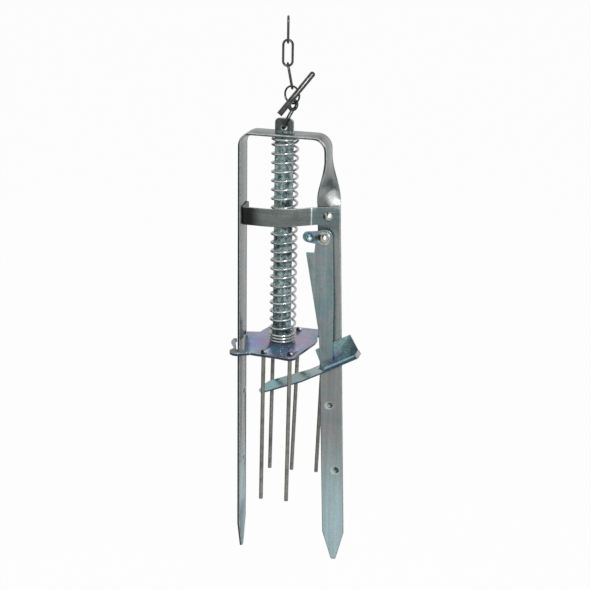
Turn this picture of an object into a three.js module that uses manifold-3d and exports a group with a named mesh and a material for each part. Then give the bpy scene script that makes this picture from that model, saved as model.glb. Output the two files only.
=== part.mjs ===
// Plunger mole trap of zinc-plated steel, hanging by its chain in the fired state.
// An inverted U of flat strap stands over the mole run. A sprung flat plunger slides in a slot
// in its top and carries a plate of spikes. A catch lever on the right leg holds the plate up
// when the trap is set, and a trigger with a long tongue under the plate lets the lever go.
// Millimetres, +Z up, front is -Y. The origin is the inside top of the uppermost chain link,
// the point that the trap hangs from. Inside the group z = 0 is the top face of the frame.

import * as THREE from "three";
import { mergeVertices } from "three/addons/utils/BufferGeometryUtils.js";
import Module from "manifold-3d";

const wasm = await Module();
wasm.setup();

// Fits and overruns
const touchGap = 0.3;        // between faces that touch
const cutOverrun = 2;        // how far a cutter stands past the metal it cuts
const roundSides = 24;       // facets round a pin or a hole
const wireSides = 12;        // facets round a chain wire

// Frame strap
const strapWidth = 26;
const strapThickness = 3.2;
const frameHeight = 515;
const frameWidth = 98;       // twice from the slot to the outer face of the left leg
const rightLegOut = 1.5;     // how much further from the slot the right leg stands
const cornerRadius = 16;     // outer radius of both top bends
const rightSplay = THREE.MathUtils.degToRad(2.12);
const twistStart = 24;       // below the top face
const twistEnd = 79;
const twistDelay = 1.5;      // the strap starts to turn slowly
const pointLength = 36;
const pointWidth = 5.5;
const punchDiameter = 9.6;
const punchDepth = 1;
const rightPunches = [{ down: 315, side: -2.8 }, { down: 397, side: 3.4 }];
const leftPunches = [{ down: 313, side: 5 }, { down: 399, side: 4.5 }];

// Plunger bar, its slot and its hole
const barWidth = 21;
const barThickness = 3;
const barRise = 16;          // above the top face of the frame
const barCornerRadius = 5;
const slotClearance = 0.7;   // each side
const eyeHoleDiameter = 6.6;
const eyeHoleHeight = 6.2;   // above the top face of the frame
const tenonProjection = 1.2;

// Spike plate
const plateDrop = 242.5;     // its top face, below the top face of the frame
const plateThickness = 3;
const plateTurn = THREE.MathUtils.degToRad(5.8);
const rowSpacing = 78.7;
const spikePitch = 29.9;
const rowOffset = 13.4;      // of the middle spike of each row from the centre line
const lugRadius = 9;
const legClearance = 1.6;
const fingerWidth = 4.5;     // of the finger outside the left leg
const fingerReach = 6;       // how far it laps the leg
// Edge points in the plate's own axes, anticlockwise seen from above
const frontEdge = [[-28.4, -42.1], [-21.2, -43.4], [0.9, -46.8]];
const frontCorner = { x: 15.8, y: -42.6, radius: 8 };
const rightEdge = [[30.4, -20.5], [38.2, 4], [39.2, 14.2], [37.6, 27]];
const rearEdge = [[33, 46.6], [13.3, 48.1], [-16.8, 48.1], [-22.1, 45.6], [-30, 24.5]];
const waist = [-47.2, -26.4];
// Where the round edges start and end, in degrees from +X
const frontLugSweep = [140, 300];
const frontCornerSweep = [255, 375];
const rearLugSweep = [-50, 110];
const edgeSteps = 8;

// Spikes
const spikeDiameter = 4.6;
const spikeReach = 182.4;    // below the top face of the plate
const spikeHeadDiameter = 6.4;
const spikeHeadHeight = 3;
const spikeHeadCrown = 0.6;  // share of its height and width where its crown starts and ends
const spikeSides = 16;
const spikePointSlant = 5;
const spikeLeans = [0.55, 0.6, 0.95, 1.9, 1.8].map(THREE.MathUtils.degToRad);  // to the left

// Spring
const springWire = 2.8;
const springOuterDiameter = 30.7;
const springShift = 1.1;     // it lies to the right on the bar
const springPitch = 9.9;
const closedPitch = 3.5;
const closedTurnsBelow = 3;
const closedTurnsAbove = 1;
const stepsPerCurl = 8;
const springSides = 5;

// Brace band
const bandHeight = 20.3;
const bandThickness = 1.8;
const bandDrop = 88.5;       // its middle at the rivet, along the right leg
const bandLean = THREE.MathUtils.degToRad(3.6);
const bandBendRadius = 3;
const bandReach = 12.8;      // past the middle of the right leg
const bandStandOff = 3.2;    // clear in front of the spring
const hookLip = 5;

// Rivets and washers
const rivetShank = 5;
const braceRivetHead = 11.4;
const leverRivetHead = 10.4;
const domeHeight = 3.4;
const backHead = 9;
const backHeadHeight = 1.8;
const washerDiameter = 15;
const washerThickness = 1;
const pinClearance = 0.35;   // round a shank in its hole

// Catch lever
const leverDrop = 112.5;     // pivot, along the right leg
const leverSide = -3.9;      // pivot, to the right of the middle of the leg
const leverThickness = 2.5;
const leverLength = 148;     // pivot to the lower corner of the foot
const footRise = 2.2;        // from the lower to the upper corner of the foot
const leverRight = 9.2;
const leverHeadRadius = 9;
const neckLeft = 11;
const shoulderLeft = 21.6;
const shoulderDrop = 18.2;
const calfLeft = 8.8;
const calfDrop = 109.3;
const footLeft = 7.2;
const footRight = 7;

// Safety latch
const latchThickness = 1.6;
const latchHeadRadius = 8.4;
const latchEndRadius = 6.2;
const latchReach = 18.4;     // pivot to the centre of its round end
const latchDimpleReach = 16.6;
const latchDimpleDiameter = 7;
const latchDimpleDepth = 0.8;
const latchDroop = THREE.MathUtils.degToRad(-1.6);

// Trigger
const triggerThickness = 1.6;
const leverOverlap = 15.9;   // how far the lever's foot reaches past the trigger's pivot
const triggerSide = -2;
const triggerTilt = THREE.MathUtils.degToRad(30);
const flangeAbove = 5.5;     // pivot to the top edge of the flange
const flangeBelow = 17.9;    // pivot to the top face of the shelf
const flangeLeft = 14.5;
const flangeRight = 31.5;
const flangeRake = 3;        // how much further left its foot reaches
const shelfDepth = 15;
const tongueWidth = 36;
const tongueStart = 24.5;    // left of the pivot, where the shelf widens behind the leg
const tongueCrease = 42;
const tongueLength = 58;     // past the crease
const creaseAngle = THREE.MathUtils.degToRad(7);
const tongueTipWidth = 15;
const tongueTaper = 6;
const tabHeight = 4.5;

// Plunger eye
const eyeWire = 4.2;
const eyeOuterDiameter = 14;
const eyeTurn = THREE.MathUtils.degToRad(52);
const eyeSide = 1;           // to the right of the ring's lowest point
const eyeTipRise = 9;        // of the wire's end behind the bar
const eyeSteps = 24;         // round its ring
const shankSteps = 28;

// Ring and toggle bar
const ringOuterDiameter = 21;
const ringWire = 2.2;
const ringTurn = THREE.MathUtils.degToRad(-20);
const toggleDiameter = 6.2;
const toggleFoot = 32;       // from its cross hole to its cut end
const toggleHead = 26;       // from its cross hole to its round end
const toggleHoleDiameter = 4.5;
const toggleSides = 16;
const toggleOnRing = THREE.MathUtils.degToRad(31);
const toggleRise = THREE.MathUtils.degToRad(54);
const toggleLean = THREE.MathUtils.degToRad(22.5);

// Chain
const linkWire = 2.6;
const linkLength = 30;       // outside
const linkWidth = 12.6;      // outside
const chainSide = 2.6;       // to the right of the plunger
const chainTurn = THREE.MathUtils.degToRad(15);
const thirdLinkTilt = THREE.MathUtils.degToRad(11.4);
const ringTopRise = 50.9;    // middle of the ring's top wire over the top face of the frame

// Places that follow from the sizes
const legX = frameWidth / 2 - strapThickness / 2;
const rightLegX = legX + rightLegOut;
const barFoot = plateDrop + plateThickness + tenonProjection;
const legFront = -strapThickness / 2;
const flangeBack = legFront - touchGap;
const flangeFront = flangeBack - triggerThickness;
const leverBack = flangeFront - touchGap;
const leverFront = leverBack - leverThickness;
const latchBack = leverFront - touchGap;
const latchFront = latchBack - latchThickness;
const washerBack = latchFront - touchGap;
const washerFront = washerBack - washerThickness;
const springRadius = (springOuterDiameter - springWire) / 2;
const triggerDrop = leverDrop + leverLength - leverOverlap;

const steel = (name, color, roughness) => {
  const material = new THREE.MeshStandardMaterial({ color, roughness, metalness: 1 });
  material.name = name;
  return material;
};
const materials = {
  strap: steel("strap_zinc", 0x8f9a9c, 0.35),
  plate: steel("plate_zinc", 0x8d8fae, 0.25),
  trigger: steel("trigger_zinc", 0x6f9aa3, 0.3),
  bar: steel("bar_zinc", 0x56656a, 0.35),
  wire: steel("spring_wire", 0xc4c8c8, 0.3),
  spike: steel("spike_steel", 0x857c70, 0.45),
  rivet: steel("rivet_steel", 0xb9bcc0, 0.2),
  chain: steel("chain_zinc", 0xa9adad, 0.3),
};

// A closed mesh with merged vertices from any geometry
function welded(geometry) {
  const bare = geometry.clone();
  bare.deleteAttribute("uv");
  bare.deleteAttribute("normal");
  return mergeVertices(bare, 1e-4);
}

function toSolid(geometry) {
  const mesh = welded(geometry);
  const numProp = 3;
  const vertProperties = new Float32Array(mesh.attributes.position.array);
  const triVerts = new Uint32Array(mesh.index.array);
  return new wasm.Manifold(new wasm.Mesh({ numProp, vertProperties, triVerts }));
}

function toGeometry(solid) {
  const mesh = solid.getMesh();
  const geometry = new THREE.BufferGeometry();
  const places = new Float32Array(mesh.vertProperties);
  geometry.setAttribute("position", new THREE.BufferAttribute(places, 3));
  geometry.setIndex(Array.from(mesh.triVerts));
  return geometry;
}

function cut(geometry, cutters) {
  let solid = toSolid(geometry);
  for (const cutter of cutters) {
    solid = solid.subtract(toSolid(cutter));
  }
  return toGeometry(solid);
}

function joined(geometries) {
  let solid = toSolid(geometries[0]);
  for (const geometry of geometries.slice(1)) {
    solid = solid.add(toSolid(geometry));
  }
  return toGeometry(solid);
}

// A closed body through rings of points, capped at both ends unless it closes on itself
function loft(rings, closed = false) {
  const count = rings[0].length;
  const positions = [];
  const index = [];
  for (const ring of rings) {
    for (const point of ring) {
      positions.push(point.x, point.y, point.z);
    }
  }
  const spans = closed ? rings.length : rings.length - 1;
  for (let i = 0; i < spans; i++) {
    const here = i * count;
    const next = ((i + 1) % rings.length) * count;
    for (let k = 0; k < count; k++) {
      const after = (k + 1) % count;
      index.push(here + k, here + after, next + after);
      index.push(here + k, next + after, next + k);
    }
  }
  if (!closed) {
    const last = (rings.length - 1) * count;
    for (let k = 1; k < count - 1; k++) {
      index.push(0, k + 1, k);
      index.push(last, last + k, last + k + 1);
    }
  }
  return outward(positions, index);
}

function outward(positions, index) {
  const corner = (i) => new THREE.Vector3().fromArray(positions, i * 3);
  let volume = 0;
  for (let i = 0; i < index.length; i += 3) {
    const [a, b, c] = [corner(index[i]), corner(index[i + 1]), corner(index[i + 2])];
    volume += a.dot(b.cross(c));
  }
  const geometry = new THREE.BufferGeometry();
  geometry.setAttribute("position", new THREE.Float32BufferAttribute(positions, 3));
  geometry.setIndex(volume > 0 ? index : index.reverse());
  return geometry;
}

// Round wire along points, with sections that turn as little as they can
function wire(points, diameter, sides, closed = false) {
  const count = points.length;
  const tangents = points.map((point, i) => {
    const before = points[closed ? (i - 1 + count) % count : Math.max(i - 1, 0)];
    const after = points[closed ? (i + 1) % count : Math.min(i + 1, count - 1)];
    return after.clone().sub(before).normalize();
  });
  const guess = Math.abs(tangents[0].y) < 0.9 ? new THREE.Vector3(0, 1, 0) : new THREE.Vector3(1, 0, 0);
  const side = guess.sub(tangents[0].clone().multiplyScalar(guess.dot(tangents[0]))).normalize();
  const rings = points.map((point, i) => {
    side.sub(tangents[i].clone().multiplyScalar(side.dot(tangents[i]))).normalize();
    const other = tangents[i].clone().cross(side);
    return Array.from({ length: sides }, (_, k) => {
      const angle = (2 * Math.PI * k) / sides;
      return point.clone()
        .addScaledVector(side, (Math.cos(angle) * diameter) / 2)
        .addScaledVector(other, (Math.sin(angle) * diameter) / 2);
    });
  });
  return loft(rings, closed);
}

// A flat piece cut from an outline in x and z, from y = front back to y = back
function flat(outline, front, back) {
  const settings = { depth: back - front, bevelEnabled: false, curveSegments: 12 };
  const geometry = new THREE.ExtrudeGeometry(outline, settings);
  geometry.rotateX(Math.PI / 2);
  geometry.translate(0, back, 0);
  return geometry;
}

// A pin, or the cutter of a hole, along Y
function pinY(x, z, diameter, front, back) {
  const geometry = new THREE.CylinderGeometry(diameter / 2, diameter / 2, back - front, roundSides);
  geometry.translate(x, (front + back) / 2, z);
  return geometry;
}

// The cutter of a rivet's hole, through a piece from front to back
function shankHole(front, back) {
  return pinY(0, 0, rivetShank + 2 * pinClearance, front - cutOverrun, back + cutOverrun);
}

// A rivet along Y: a domed head in front, a shank and a low head behind
function rivet(x, z, headDiameter, seatFront, seatBack) {
  const radius = headDiameter / 2;
  const profile = [new THREE.Vector2(0, seatFront - domeHeight)];
  const domeSteps = 6;
  for (let i = 1; i <= domeSteps; i++) {
    const angle = (Math.PI / 2) * (i / domeSteps);
    profile.push(new THREE.Vector2(radius * Math.sin(angle), seatFront - domeHeight * Math.cos(angle)));
  }
  profile.push(new THREE.Vector2(rivetShank / 2, seatFront));
  profile.push(new THREE.Vector2(rivetShank / 2, seatBack));
  profile.push(new THREE.Vector2(backHead / 2, seatBack));
  profile.push(new THREE.Vector2(backHead / 2 - backHeadHeight / 2, seatBack + backHeadHeight));
  profile.push(new THREE.Vector2(0, seatBack + backHeadHeight));
  const geometry = new THREE.LatheGeometry(profile, roundSides);
  geometry.translate(x, 0, z);
  return outwardOf(geometry);
}

function outwardOf(geometry) {
  const mesh = welded(geometry);
  return outward(Array.from(mesh.attributes.position.array), Array.from(mesh.index.array));
}

function add(group, name, geometry, material) {
  geometry.computeVertexNormals();
  const mesh = new THREE.Mesh(geometry, material);
  mesh.name = name;
  group.add(mesh);
  return mesh;
}

// Frame: one strap up the left leg, over the top, and down the right leg with a quarter twist
function frameStrap() {
  const middleRadius = cornerRadius - strapThickness / 2;
  const topZ = -strapThickness / 2;
  const down = new THREE.Vector3(Math.sin(rightSplay), 0, -Math.cos(rightSplay));
  const leftTip = new THREE.Vector3(-legX, 0, -frameHeight);
  const rightStart = new THREE.Vector3(rightLegX, 0, topZ);
  const along = (distance) => rightStart.clone().addScaledVector(down, distance);
  const rightLength = (frameHeight + topZ) / Math.cos(rightSplay);
  const stations = [];
  const station = (point, normal, width, turn = 0) => stations.push({ point, normal, width, turn });
  const left = new THREE.Vector3(-1, 0, 0);
  const right = new THREE.Vector3(Math.cos(rightSplay), 0, Math.sin(rightSplay));
  station(leftTip, left, pointWidth);
  station(leftTip.clone().setZ(-frameHeight + pointLength), left, strapWidth);
  const bend = (centre, from, to) => {
    const bendSteps = 8;
    for (let i = 0; i <= bendSteps; i++) {
      const angle = from + ((to - from) * i) / bendSteps;
      const normal = new THREE.Vector3(Math.cos(angle), 0, Math.sin(angle));
      station(centre.clone().addScaledVector(normal, middleRadius), normal, strapWidth);
    }
  };
  bend(new THREE.Vector3(-legX + middleRadius, 0, topZ - middleRadius), Math.PI, Math.PI / 2);
  const setBack = middleRadius * Math.tan((Math.PI / 2 - rightSplay) / 2);
  bend(new THREE.Vector3(rightLegX - setBack, 0, topZ - middleRadius), Math.PI / 2, rightSplay);
  const twistSteps = 12;
  for (let i = 0; i <= twistSteps; i++) {
    const share = i / twistSteps;
    const late = share ** twistDelay;
    const eased = late * late * (3 - 2 * late);
    const distance = twistStart + (twistEnd - twistStart) * share;
    station(along(distance), right, strapWidth, (eased * Math.PI) / 2);
  }
  station(along(rightLength - pointLength), right, strapWidth, Math.PI / 2);
  station(along(rightLength), right, pointWidth, Math.PI / 2);

  const front = new THREE.Vector3(0, -1, 0);
  const rings = stations.map(({ point, normal, width, turn }) => {
    const outer = normal.clone().multiplyScalar(Math.cos(turn)).addScaledVector(front, Math.sin(turn));
    const edge = front.clone().multiplyScalar(Math.cos(turn)).addScaledVector(normal, -Math.sin(turn));
    return [[1, 1], [1, -1], [-1, -1], [-1, 1]].map(([edgeSign, outerSign]) => point.clone()
      .addScaledVector(edge, (edgeSign * width) / 2)
      .addScaledVector(outer, (outerSign * strapThickness) / 2));
  });
  return loft(rings);
}

function slotCutter() {
  const width = barWidth + 2 * slotClearance;
  const depth = barThickness + 2 * slotClearance;
  const height = strapThickness + 2 * cutOverrun;
  const cutter = new THREE.BoxGeometry(width, depth, height);
  cutter.translate(0, 0, -strapThickness / 2);
  return cutter;
}

// Cutters and marks on the right leg are drawn along the leg and then leant with it
function onRightLeg(geometry) {
  geometry.rotateY(-rightSplay);
  geometry.translate(rightLegX, 0, 0);
  return geometry;
}

function framePiece() {
  const holeDiameter = rivetShank + 2 * pinClearance;
  const back = strapThickness / 2;
  const cutters = [slotCutter()];
  for (const [side, drop] of [[0, bandDrop], [leverSide, leverDrop], [triggerSide, triggerDrop]]) {
    cutters.push(onRightLeg(pinY(side, -drop, holeDiameter, legFront - cutOverrun, back + cutOverrun)));
  }
  for (const { down, side } of rightPunches) {
    cutters.push(onRightLeg(pinY(side, -down, punchDiameter, legFront - cutOverrun, legFront + punchDepth)));
  }
  for (const { down, side } of leftPunches) {
    const punch = pinY(0, 0, punchDiameter, -punchDepth, cutOverrun);
    punch.rotateZ(-Math.PI / 2);
    punch.translate(-legX + strapThickness / 2, side, -down);
    cutters.push(punch);
  }
  return cut(frameStrap(), cutters);
}

// Brace: a band hooked round the left leg, bowed past the spring and riveted on the right leg
function braceBand() {
  const rightX = rightLegX + Math.tan(rightSplay) * bandDrop;
  const seat = legFront - touchGap - bandThickness / 2;
  const inner = -frameWidth / 2 + strapThickness + touchGap + bandThickness / 2;
  const legEdge = strapWidth / 2 + touchGap + bandThickness / 2;
  const bow = -(springOuterDiameter / 2 + bandStandOff + bandThickness / 2);
  const outer = -frameWidth / 2 - touchGap - bandThickness / 2;
  const flatStart = rightX - strapWidth / 2 - touchGap;
  const corners = [
    [outer, legEdge - hookLip], [outer, legEdge], [inner, legEdge],
    [inner, -strapWidth / 2 + bandBendRadius], [springShift, bow],
    [flatStart, seat], [rightX + bandReach, seat],
  ];
  const radii = [0, bandThickness, bandThickness, bandBendRadius, springOuterDiameter * 2, bandBendRadius, 0];
  const line = filleted(corners.map(([x, y]) => new THREE.Vector2(x, y)), radii);
  const rings = line.map(({ point, normal }) => [[1, 1], [1, -1], [-1, -1], [-1, 1]].map(([up, out]) => (
    new THREE.Vector3(
      point.x + (normal.x * out * bandThickness) / 2,
      point.y + (normal.y * out * bandThickness) / 2,
      (up * bandHeight) / 2 - bandDrop + (point.x - rightX) * Math.tan(bandLean),
    ))));
  const band = loft(rings);
  const hole = onRightLeg(pinY(0, -bandDrop, rivetShank + 2 * pinClearance, bow, cutOverrun));
  return cut(band, [hole]);
}

// Points and normals along a bent line, with an arc at each corner
function filleted(corners, radii) {
  const line = [];
  const push = (point, direction) => {
    line.push({ point, normal: new THREE.Vector2(-direction.y, direction.x) });
  };
  const headingTo = (a, b) => b.clone().sub(a).normalize();
  push(corners[0], headingTo(corners[0], corners[1]));
  for (let i = 1; i < corners.length - 1; i++) {
    const into = headingTo(corners[i - 1], corners[i]);
    const out = headingTo(corners[i], corners[i + 1]);
    const turn = Math.atan2(into.cross(out), into.dot(out));
    const setBack = radii[i] * Math.tan(Math.abs(turn) / 2);
    const start = corners[i].clone().addScaledVector(into, -setBack);
    const side = Math.sign(turn);
    const centre = start.clone().addScaledVector(new THREE.Vector2(-into.y, into.x), side * radii[i]);
    const arcSteps = Math.max(2, Math.ceil(Math.abs(turn) / THREE.MathUtils.degToRad(10)));
    for (let k = 0; k <= arcSteps; k++) {
      const angle = (turn * k) / arcSteps;
      const direction = into.clone().rotateAround(new THREE.Vector2(), angle);
      const outwards = new THREE.Vector2(direction.y, -direction.x).multiplyScalar(side * radii[i]);
      push(centre.clone().add(outwards), direction);
    }
  }
  const last = corners.length - 1;
  push(corners[last], headingTo(corners[last - 1], corners[last]));
  return line;
}

// Plunger bar: flat bar with round top corners, a hole for the eye and a shouldered foot
function plungerBar() {
  const half = barWidth / 2;
  const seat = -plateDrop + touchGap;
  const tenonHalf = half - barThickness;
  const outline = new THREE.Shape();
  outline.moveTo(-tenonHalf, -barFoot);
  outline.lineTo(tenonHalf, -barFoot);
  outline.lineTo(tenonHalf, seat);
  outline.lineTo(half, seat);
  outline.lineTo(half, barRise - barCornerRadius);
  outline.absarc(half - barCornerRadius, barRise - barCornerRadius, barCornerRadius, 0, Math.PI / 2);
  outline.lineTo(-half + barCornerRadius, barRise);
  outline.absarc(-half + barCornerRadius, barRise - barCornerRadius, barCornerRadius, Math.PI / 2, Math.PI);
  outline.lineTo(-half, seat);
  outline.lineTo(-tenonHalf, seat);
  outline.closePath();
  const bar = flat(outline, -barThickness / 2, barThickness / 2);
  return cut(bar, [pinY(0, eyeHoleHeight, eyeHoleDiameter, -barThickness, barThickness)]);
}

// Spike places in the plate's own axes, three in each row
function spikePlaces() {
  const row = rowSpacing / 2;
  const front = [-spikePitch, 0, spikePitch].map((step) => new THREE.Vector2(step - rowOffset, -row));
  const rear = [-spikePitch, 0, spikePitch].map((step) => new THREE.Vector2(step + rowOffset, row));
  return { front, rear };
}

// Plate: a lug at two corner spikes, a notch that guides the plate on the left leg, and a
// finger that laps the outside of that leg
function plateOutline() {
  const { front, rear } = spikePlaces();
  const arc = (centre, radius, [from, to]) => Array.from({ length: edgeSteps + 1 }, (_, i) => {
    const angle = THREE.MathUtils.degToRad(from + ((to - from) * i) / edgeSteps);
    return [centre.x + radius * Math.cos(angle), centre.y + radius * Math.sin(angle)];
  });
  const notchFoot = -frameWidth / 2 + strapThickness + legClearance;
  const notchEdge = strapWidth / 2 + legClearance;
  const fingerInner = -frameWidth / 2 - legClearance;
  const fingerOuter = fingerInner - fingerWidth;
  const fingerTip = fingerReach - strapWidth / 2;
  const notch = [
    [notchFoot - strapThickness, notchEdge + strapThickness], [notchFoot - strapThickness / 2, notchEdge],
    [notchFoot, notchEdge], [notchFoot, -notchEdge], [fingerInner, -notchEdge],
    [fingerInner, fingerTip - fingerWidth / 2], [fingerInner - fingerWidth / 2, fingerTip],
    [fingerOuter, fingerTip - fingerWidth / 2], [fingerOuter, -notchEdge - fingerWidth / 2],
    [fingerOuter + fingerWidth / 2, -notchEdge - fingerWidth * 1.5],
  ].map(([x, y]) => new THREE.Vector2(x, y).rotateAround(new THREE.Vector2(), -plateTurn).toArray());
  return [
    ...arc(front[0], lugRadius, frontLugSweep),
    ...frontEdge,
    ...arc(frontCorner, frontCorner.radius, frontCornerSweep),
    ...rightEdge,
    ...arc(rear[2], lugRadius, rearLugSweep),
    ...rearEdge,
    ...notch,
    waist,
  ].map(([x, y]) => new THREE.Vector2(x, y));
}

function spikePlate() {
  const outline = new THREE.Shape(plateOutline());
  const blank = new THREE.ExtrudeGeometry(outline, { depth: plateThickness, bevelEnabled: false });
  blank.translate(0, 0, -plateDrop - plateThickness);
  const { front, rear } = spikePlaces();
  const cutters = [...front, ...rear].map((place) => {
    const drill = spikeDiameter / 2 + touchGap;
    const hole = new THREE.CylinderGeometry(drill, drill, plateThickness + 2 * cutOverrun, roundSides);
    hole.rotateX(Math.PI / 2);
    hole.translate(place.x, place.y, -plateDrop - plateThickness / 2);
    return hole;
  });
  const tenonSlot = new THREE.BoxGeometry(
    barWidth - 2 * barThickness + 2 * touchGap, barThickness + 2 * touchGap, plateThickness + 2 * cutOverrun);
  tenonSlot.translate(0, 0, -plateDrop - plateThickness / 2);
  tenonSlot.rotateZ(-plateTurn);
  cutters.push(tenonSlot);
  const plate = cut(blank, cutters);
  plate.rotateZ(plateTurn);
  return plate;
}

// Spike: a round rod with an upset head on the plate and a foot cut at a slant
function spike(place, lean) {
  const radius = spikeDiameter / 2;
  const top = -plateDrop + touchGap;
  const profile = [
    new THREE.Vector2(0, -plateDrop - spikeReach),
    new THREE.Vector2(radius, -plateDrop - spikeReach),
    new THREE.Vector2(radius, top),
    new THREE.Vector2(spikeHeadDiameter / 2, top),
    new THREE.Vector2(spikeHeadDiameter / 2, top + spikeHeadHeight * spikeHeadCrown),
    new THREE.Vector2((spikeHeadDiameter / 2) * spikeHeadCrown, top + spikeHeadHeight),
    new THREE.Vector2(0, top + spikeHeadHeight),
  ];
  const rod = new THREE.LatheGeometry(profile, spikeSides);
  rod.rotateX(Math.PI / 2);
  const slant = new THREE.BoxGeometry(4 * radius, 4 * radius, 4 * radius);
  slant.translate(0, 0, -2 * radius);
  slant.rotateY(Math.atan2(spikePointSlant, spikeDiameter));
  slant.translate(0, 0, -plateDrop - spikeReach + spikePointSlant / 2);
  const body = cut(outwardOf(rod), [slant]);
  body.translate(0, 0, plateDrop);
  body.rotateY(lean);
  body.translate(0, 0, -plateDrop);
  const centre = place.clone().rotateAround(new THREE.Vector2(), plateTurn);
  body.translate(centre.x, centre.y, 0);
  return body;
}

// Spring: right-handed, closed turns at both ends, each end straight for one wire diameter
function springPoints() {
  const low = -plateDrop + touchGap + springWire / 2;
  const high = -strapThickness - touchGap - springWire / 2;
  const openHeight = high - low - closedPitch * (closedTurnsBelow + closedTurnsAbove);
  const openTurns = Math.round(openHeight / springPitch);
  const turns = closedTurnsBelow + openTurns + closedTurnsAbove;
  const pitch = openHeight / openTurns;
  const heightAt = (turn) => {
    const below = Math.min(turn, closedTurnsBelow) * closedPitch;
    const open = Math.min(Math.max(turn - closedTurnsBelow, 0), openTurns) * pitch;
    const above = Math.max(turn - closedTurnsBelow - openTurns, 0) * closedPitch;
    return low + below + open + above;
  };
  const points = [];
  const steps = turns * stepsPerCurl;
  for (let i = 0; i <= steps; i++) {
    const turn = i / stepsPerCurl;
    const angle = 2 * Math.PI * turn;
    const x = springShift + springRadius * Math.cos(angle);
    const y = springRadius * Math.sin(angle);
    points.push(new THREE.Vector3(x, y, heightAt(turn)));
  }
  const runOut = new THREE.Vector3(0, springWire, 0);
  points.unshift(points[0].clone().sub(runOut));
  points.push(points[points.length - 1].clone().add(runOut));
  return { points, turns };
}

function leastGap(points, diameter, stepsApart) {
  let least = Infinity;
  for (let i = 0; i < points.length; i++) {
    for (let k = i + stepsApart; k < points.length; k++) {
      least = Math.min(least, points[i].distanceTo(points[k]) - diameter);
    }
  }
  return least;
}

// Catch lever: hangs on the right leg, with a shoulder at the left for the plate to rest on
function leverPiece() {
  const outline = new THREE.Shape();
  const foot = -leverLength;
  outline.absarc(0, 0, leverHeadRadius, THREE.MathUtils.degToRad(20), THREE.MathUtils.degToRad(200), false);
  outline.lineTo(-neckLeft - leverThickness / 2, -shoulderDrop);
  outline.lineTo(-shoulderLeft, -shoulderDrop);
  outline.lineTo(-calfLeft, -calfDrop);
  outline.lineTo(-footLeft, foot);
  outline.lineTo(footRight, foot + footRise);
  outline.lineTo(leverRight, foot / 2);
  outline.closePath();
  const lever = flat(outline, leverFront, leverBack);
  return cut(lever, [shankHole(leverFront, leverBack)]);
}

// Safety latch: a drop-shaped tab with a thumb dimple, on the lever's rivet
function latchPiece() {
  const outline = new THREE.Shape();
  const slope = Math.asin((latchHeadRadius - latchEndRadius) / latchReach);
  outline.absarc(0, 0, latchHeadRadius, -Math.PI / 2 - slope, Math.PI / 2 + slope, false);
  outline.absarc(-latchReach, 0, latchEndRadius, Math.PI / 2 + slope, (3 * Math.PI) / 2 - slope, false);
  outline.closePath();
  const latch = flat(outline, latchFront, latchBack);
  return cut(latch, [
    shankHole(latchFront, latchBack),
    pinY(-latchDimpleReach, 0, latchDimpleDiameter, latchFront - cutOverrun, latchFront + latchDimpleDepth),
  ]);
}

function washer(front, back, diameter) {
  const disc = pinY(0, 0, diameter, front, back);
  return cut(disc, [shankHole(front, back)]);
}

// Trigger: one folded sheet. A flange on the leg, a shelf in front of it with a stop tab at
// the right, and a tongue that widens behind the leg and bends at a crease.
function triggerPiece() {
  const shelfTop = -flangeBelow;
  const shelfFoot = shelfTop - triggerThickness;
  const frontY = flangeFront - shelfDepth;
  const flange = new THREE.Shape([
    new THREE.Vector2(-flangeLeft, flangeAbove),
    new THREE.Vector2(-flangeLeft - flangeRake, shelfFoot),
    new THREE.Vector2(flangeRight, shelfFoot),
    new THREE.Vector2(flangeRight, flangeAbove),
  ]);
  const flangeSheet = flat(flange, flangeFront, flangeBack);
  const shelf = new THREE.BoxGeometry(tongueStart + flangeRight, flangeBack - frontY, triggerThickness);
  shelf.translate((flangeRight - tongueStart) / 2, (flangeBack + frontY) / 2, (shelfTop + shelfFoot) / 2);
  const tab = new THREE.BoxGeometry(triggerThickness, shelfDepth, triggerThickness + tabHeight);
  const tabZ = shelfFoot + (triggerThickness + tabHeight) / 2;
  tab.translate(flangeRight + triggerThickness / 2 - touchGap, frontY + shelfDepth / 2, tabZ);
  const half = tongueWidth / 2;
  const crossing = (x, lift, halfWidth) => [
    new THREE.Vector3(x, -halfWidth, shelfFoot + lift), new THREE.Vector3(x, halfWidth, shelfFoot + lift),
    new THREE.Vector3(x, halfWidth, shelfTop + lift), new THREE.Vector3(x, -halfWidth, shelfTop + lift),
  ];
  const reach = tongueLength * Math.cos(creaseAngle);
  const lift = tongueLength * Math.sin(creaseAngle);
  const taperShare = 1 - tongueTaper / tongueLength;
  const tongue = loft([
    crossing(-tongueStart + touchGap, 0, half),
    crossing(-tongueCrease, 0, half),
    crossing(-tongueCrease - reach * taperShare, lift * taperShare, half),
    crossing(-tongueCrease - reach, lift, tongueTipWidth / 2),
  ]);
  const sheet = joined([flangeSheet, shelf, tab, tongue]);
  return cut(sheet, [shankHole(flangeFront, flangeBack)]);
}

function triggerRivet() {
  const profile = [
    new THREE.Vector2(0, flangeFront),
    new THREE.Vector2(rivetShank / 2, flangeFront),
    new THREE.Vector2(rivetShank / 2, strapThickness / 2 + touchGap),
    new THREE.Vector2(backHead / 2, strapThickness / 2 + touchGap),
    new THREE.Vector2(backHead / 2 - backHeadHeight / 2, strapThickness / 2 + touchGap + backHeadHeight),
    new THREE.Vector2(0, strapThickness / 2 + touchGap + backHeadHeight),
  ];
  return outwardOf(new THREE.LatheGeometry(profile, roundSides));
}

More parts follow.
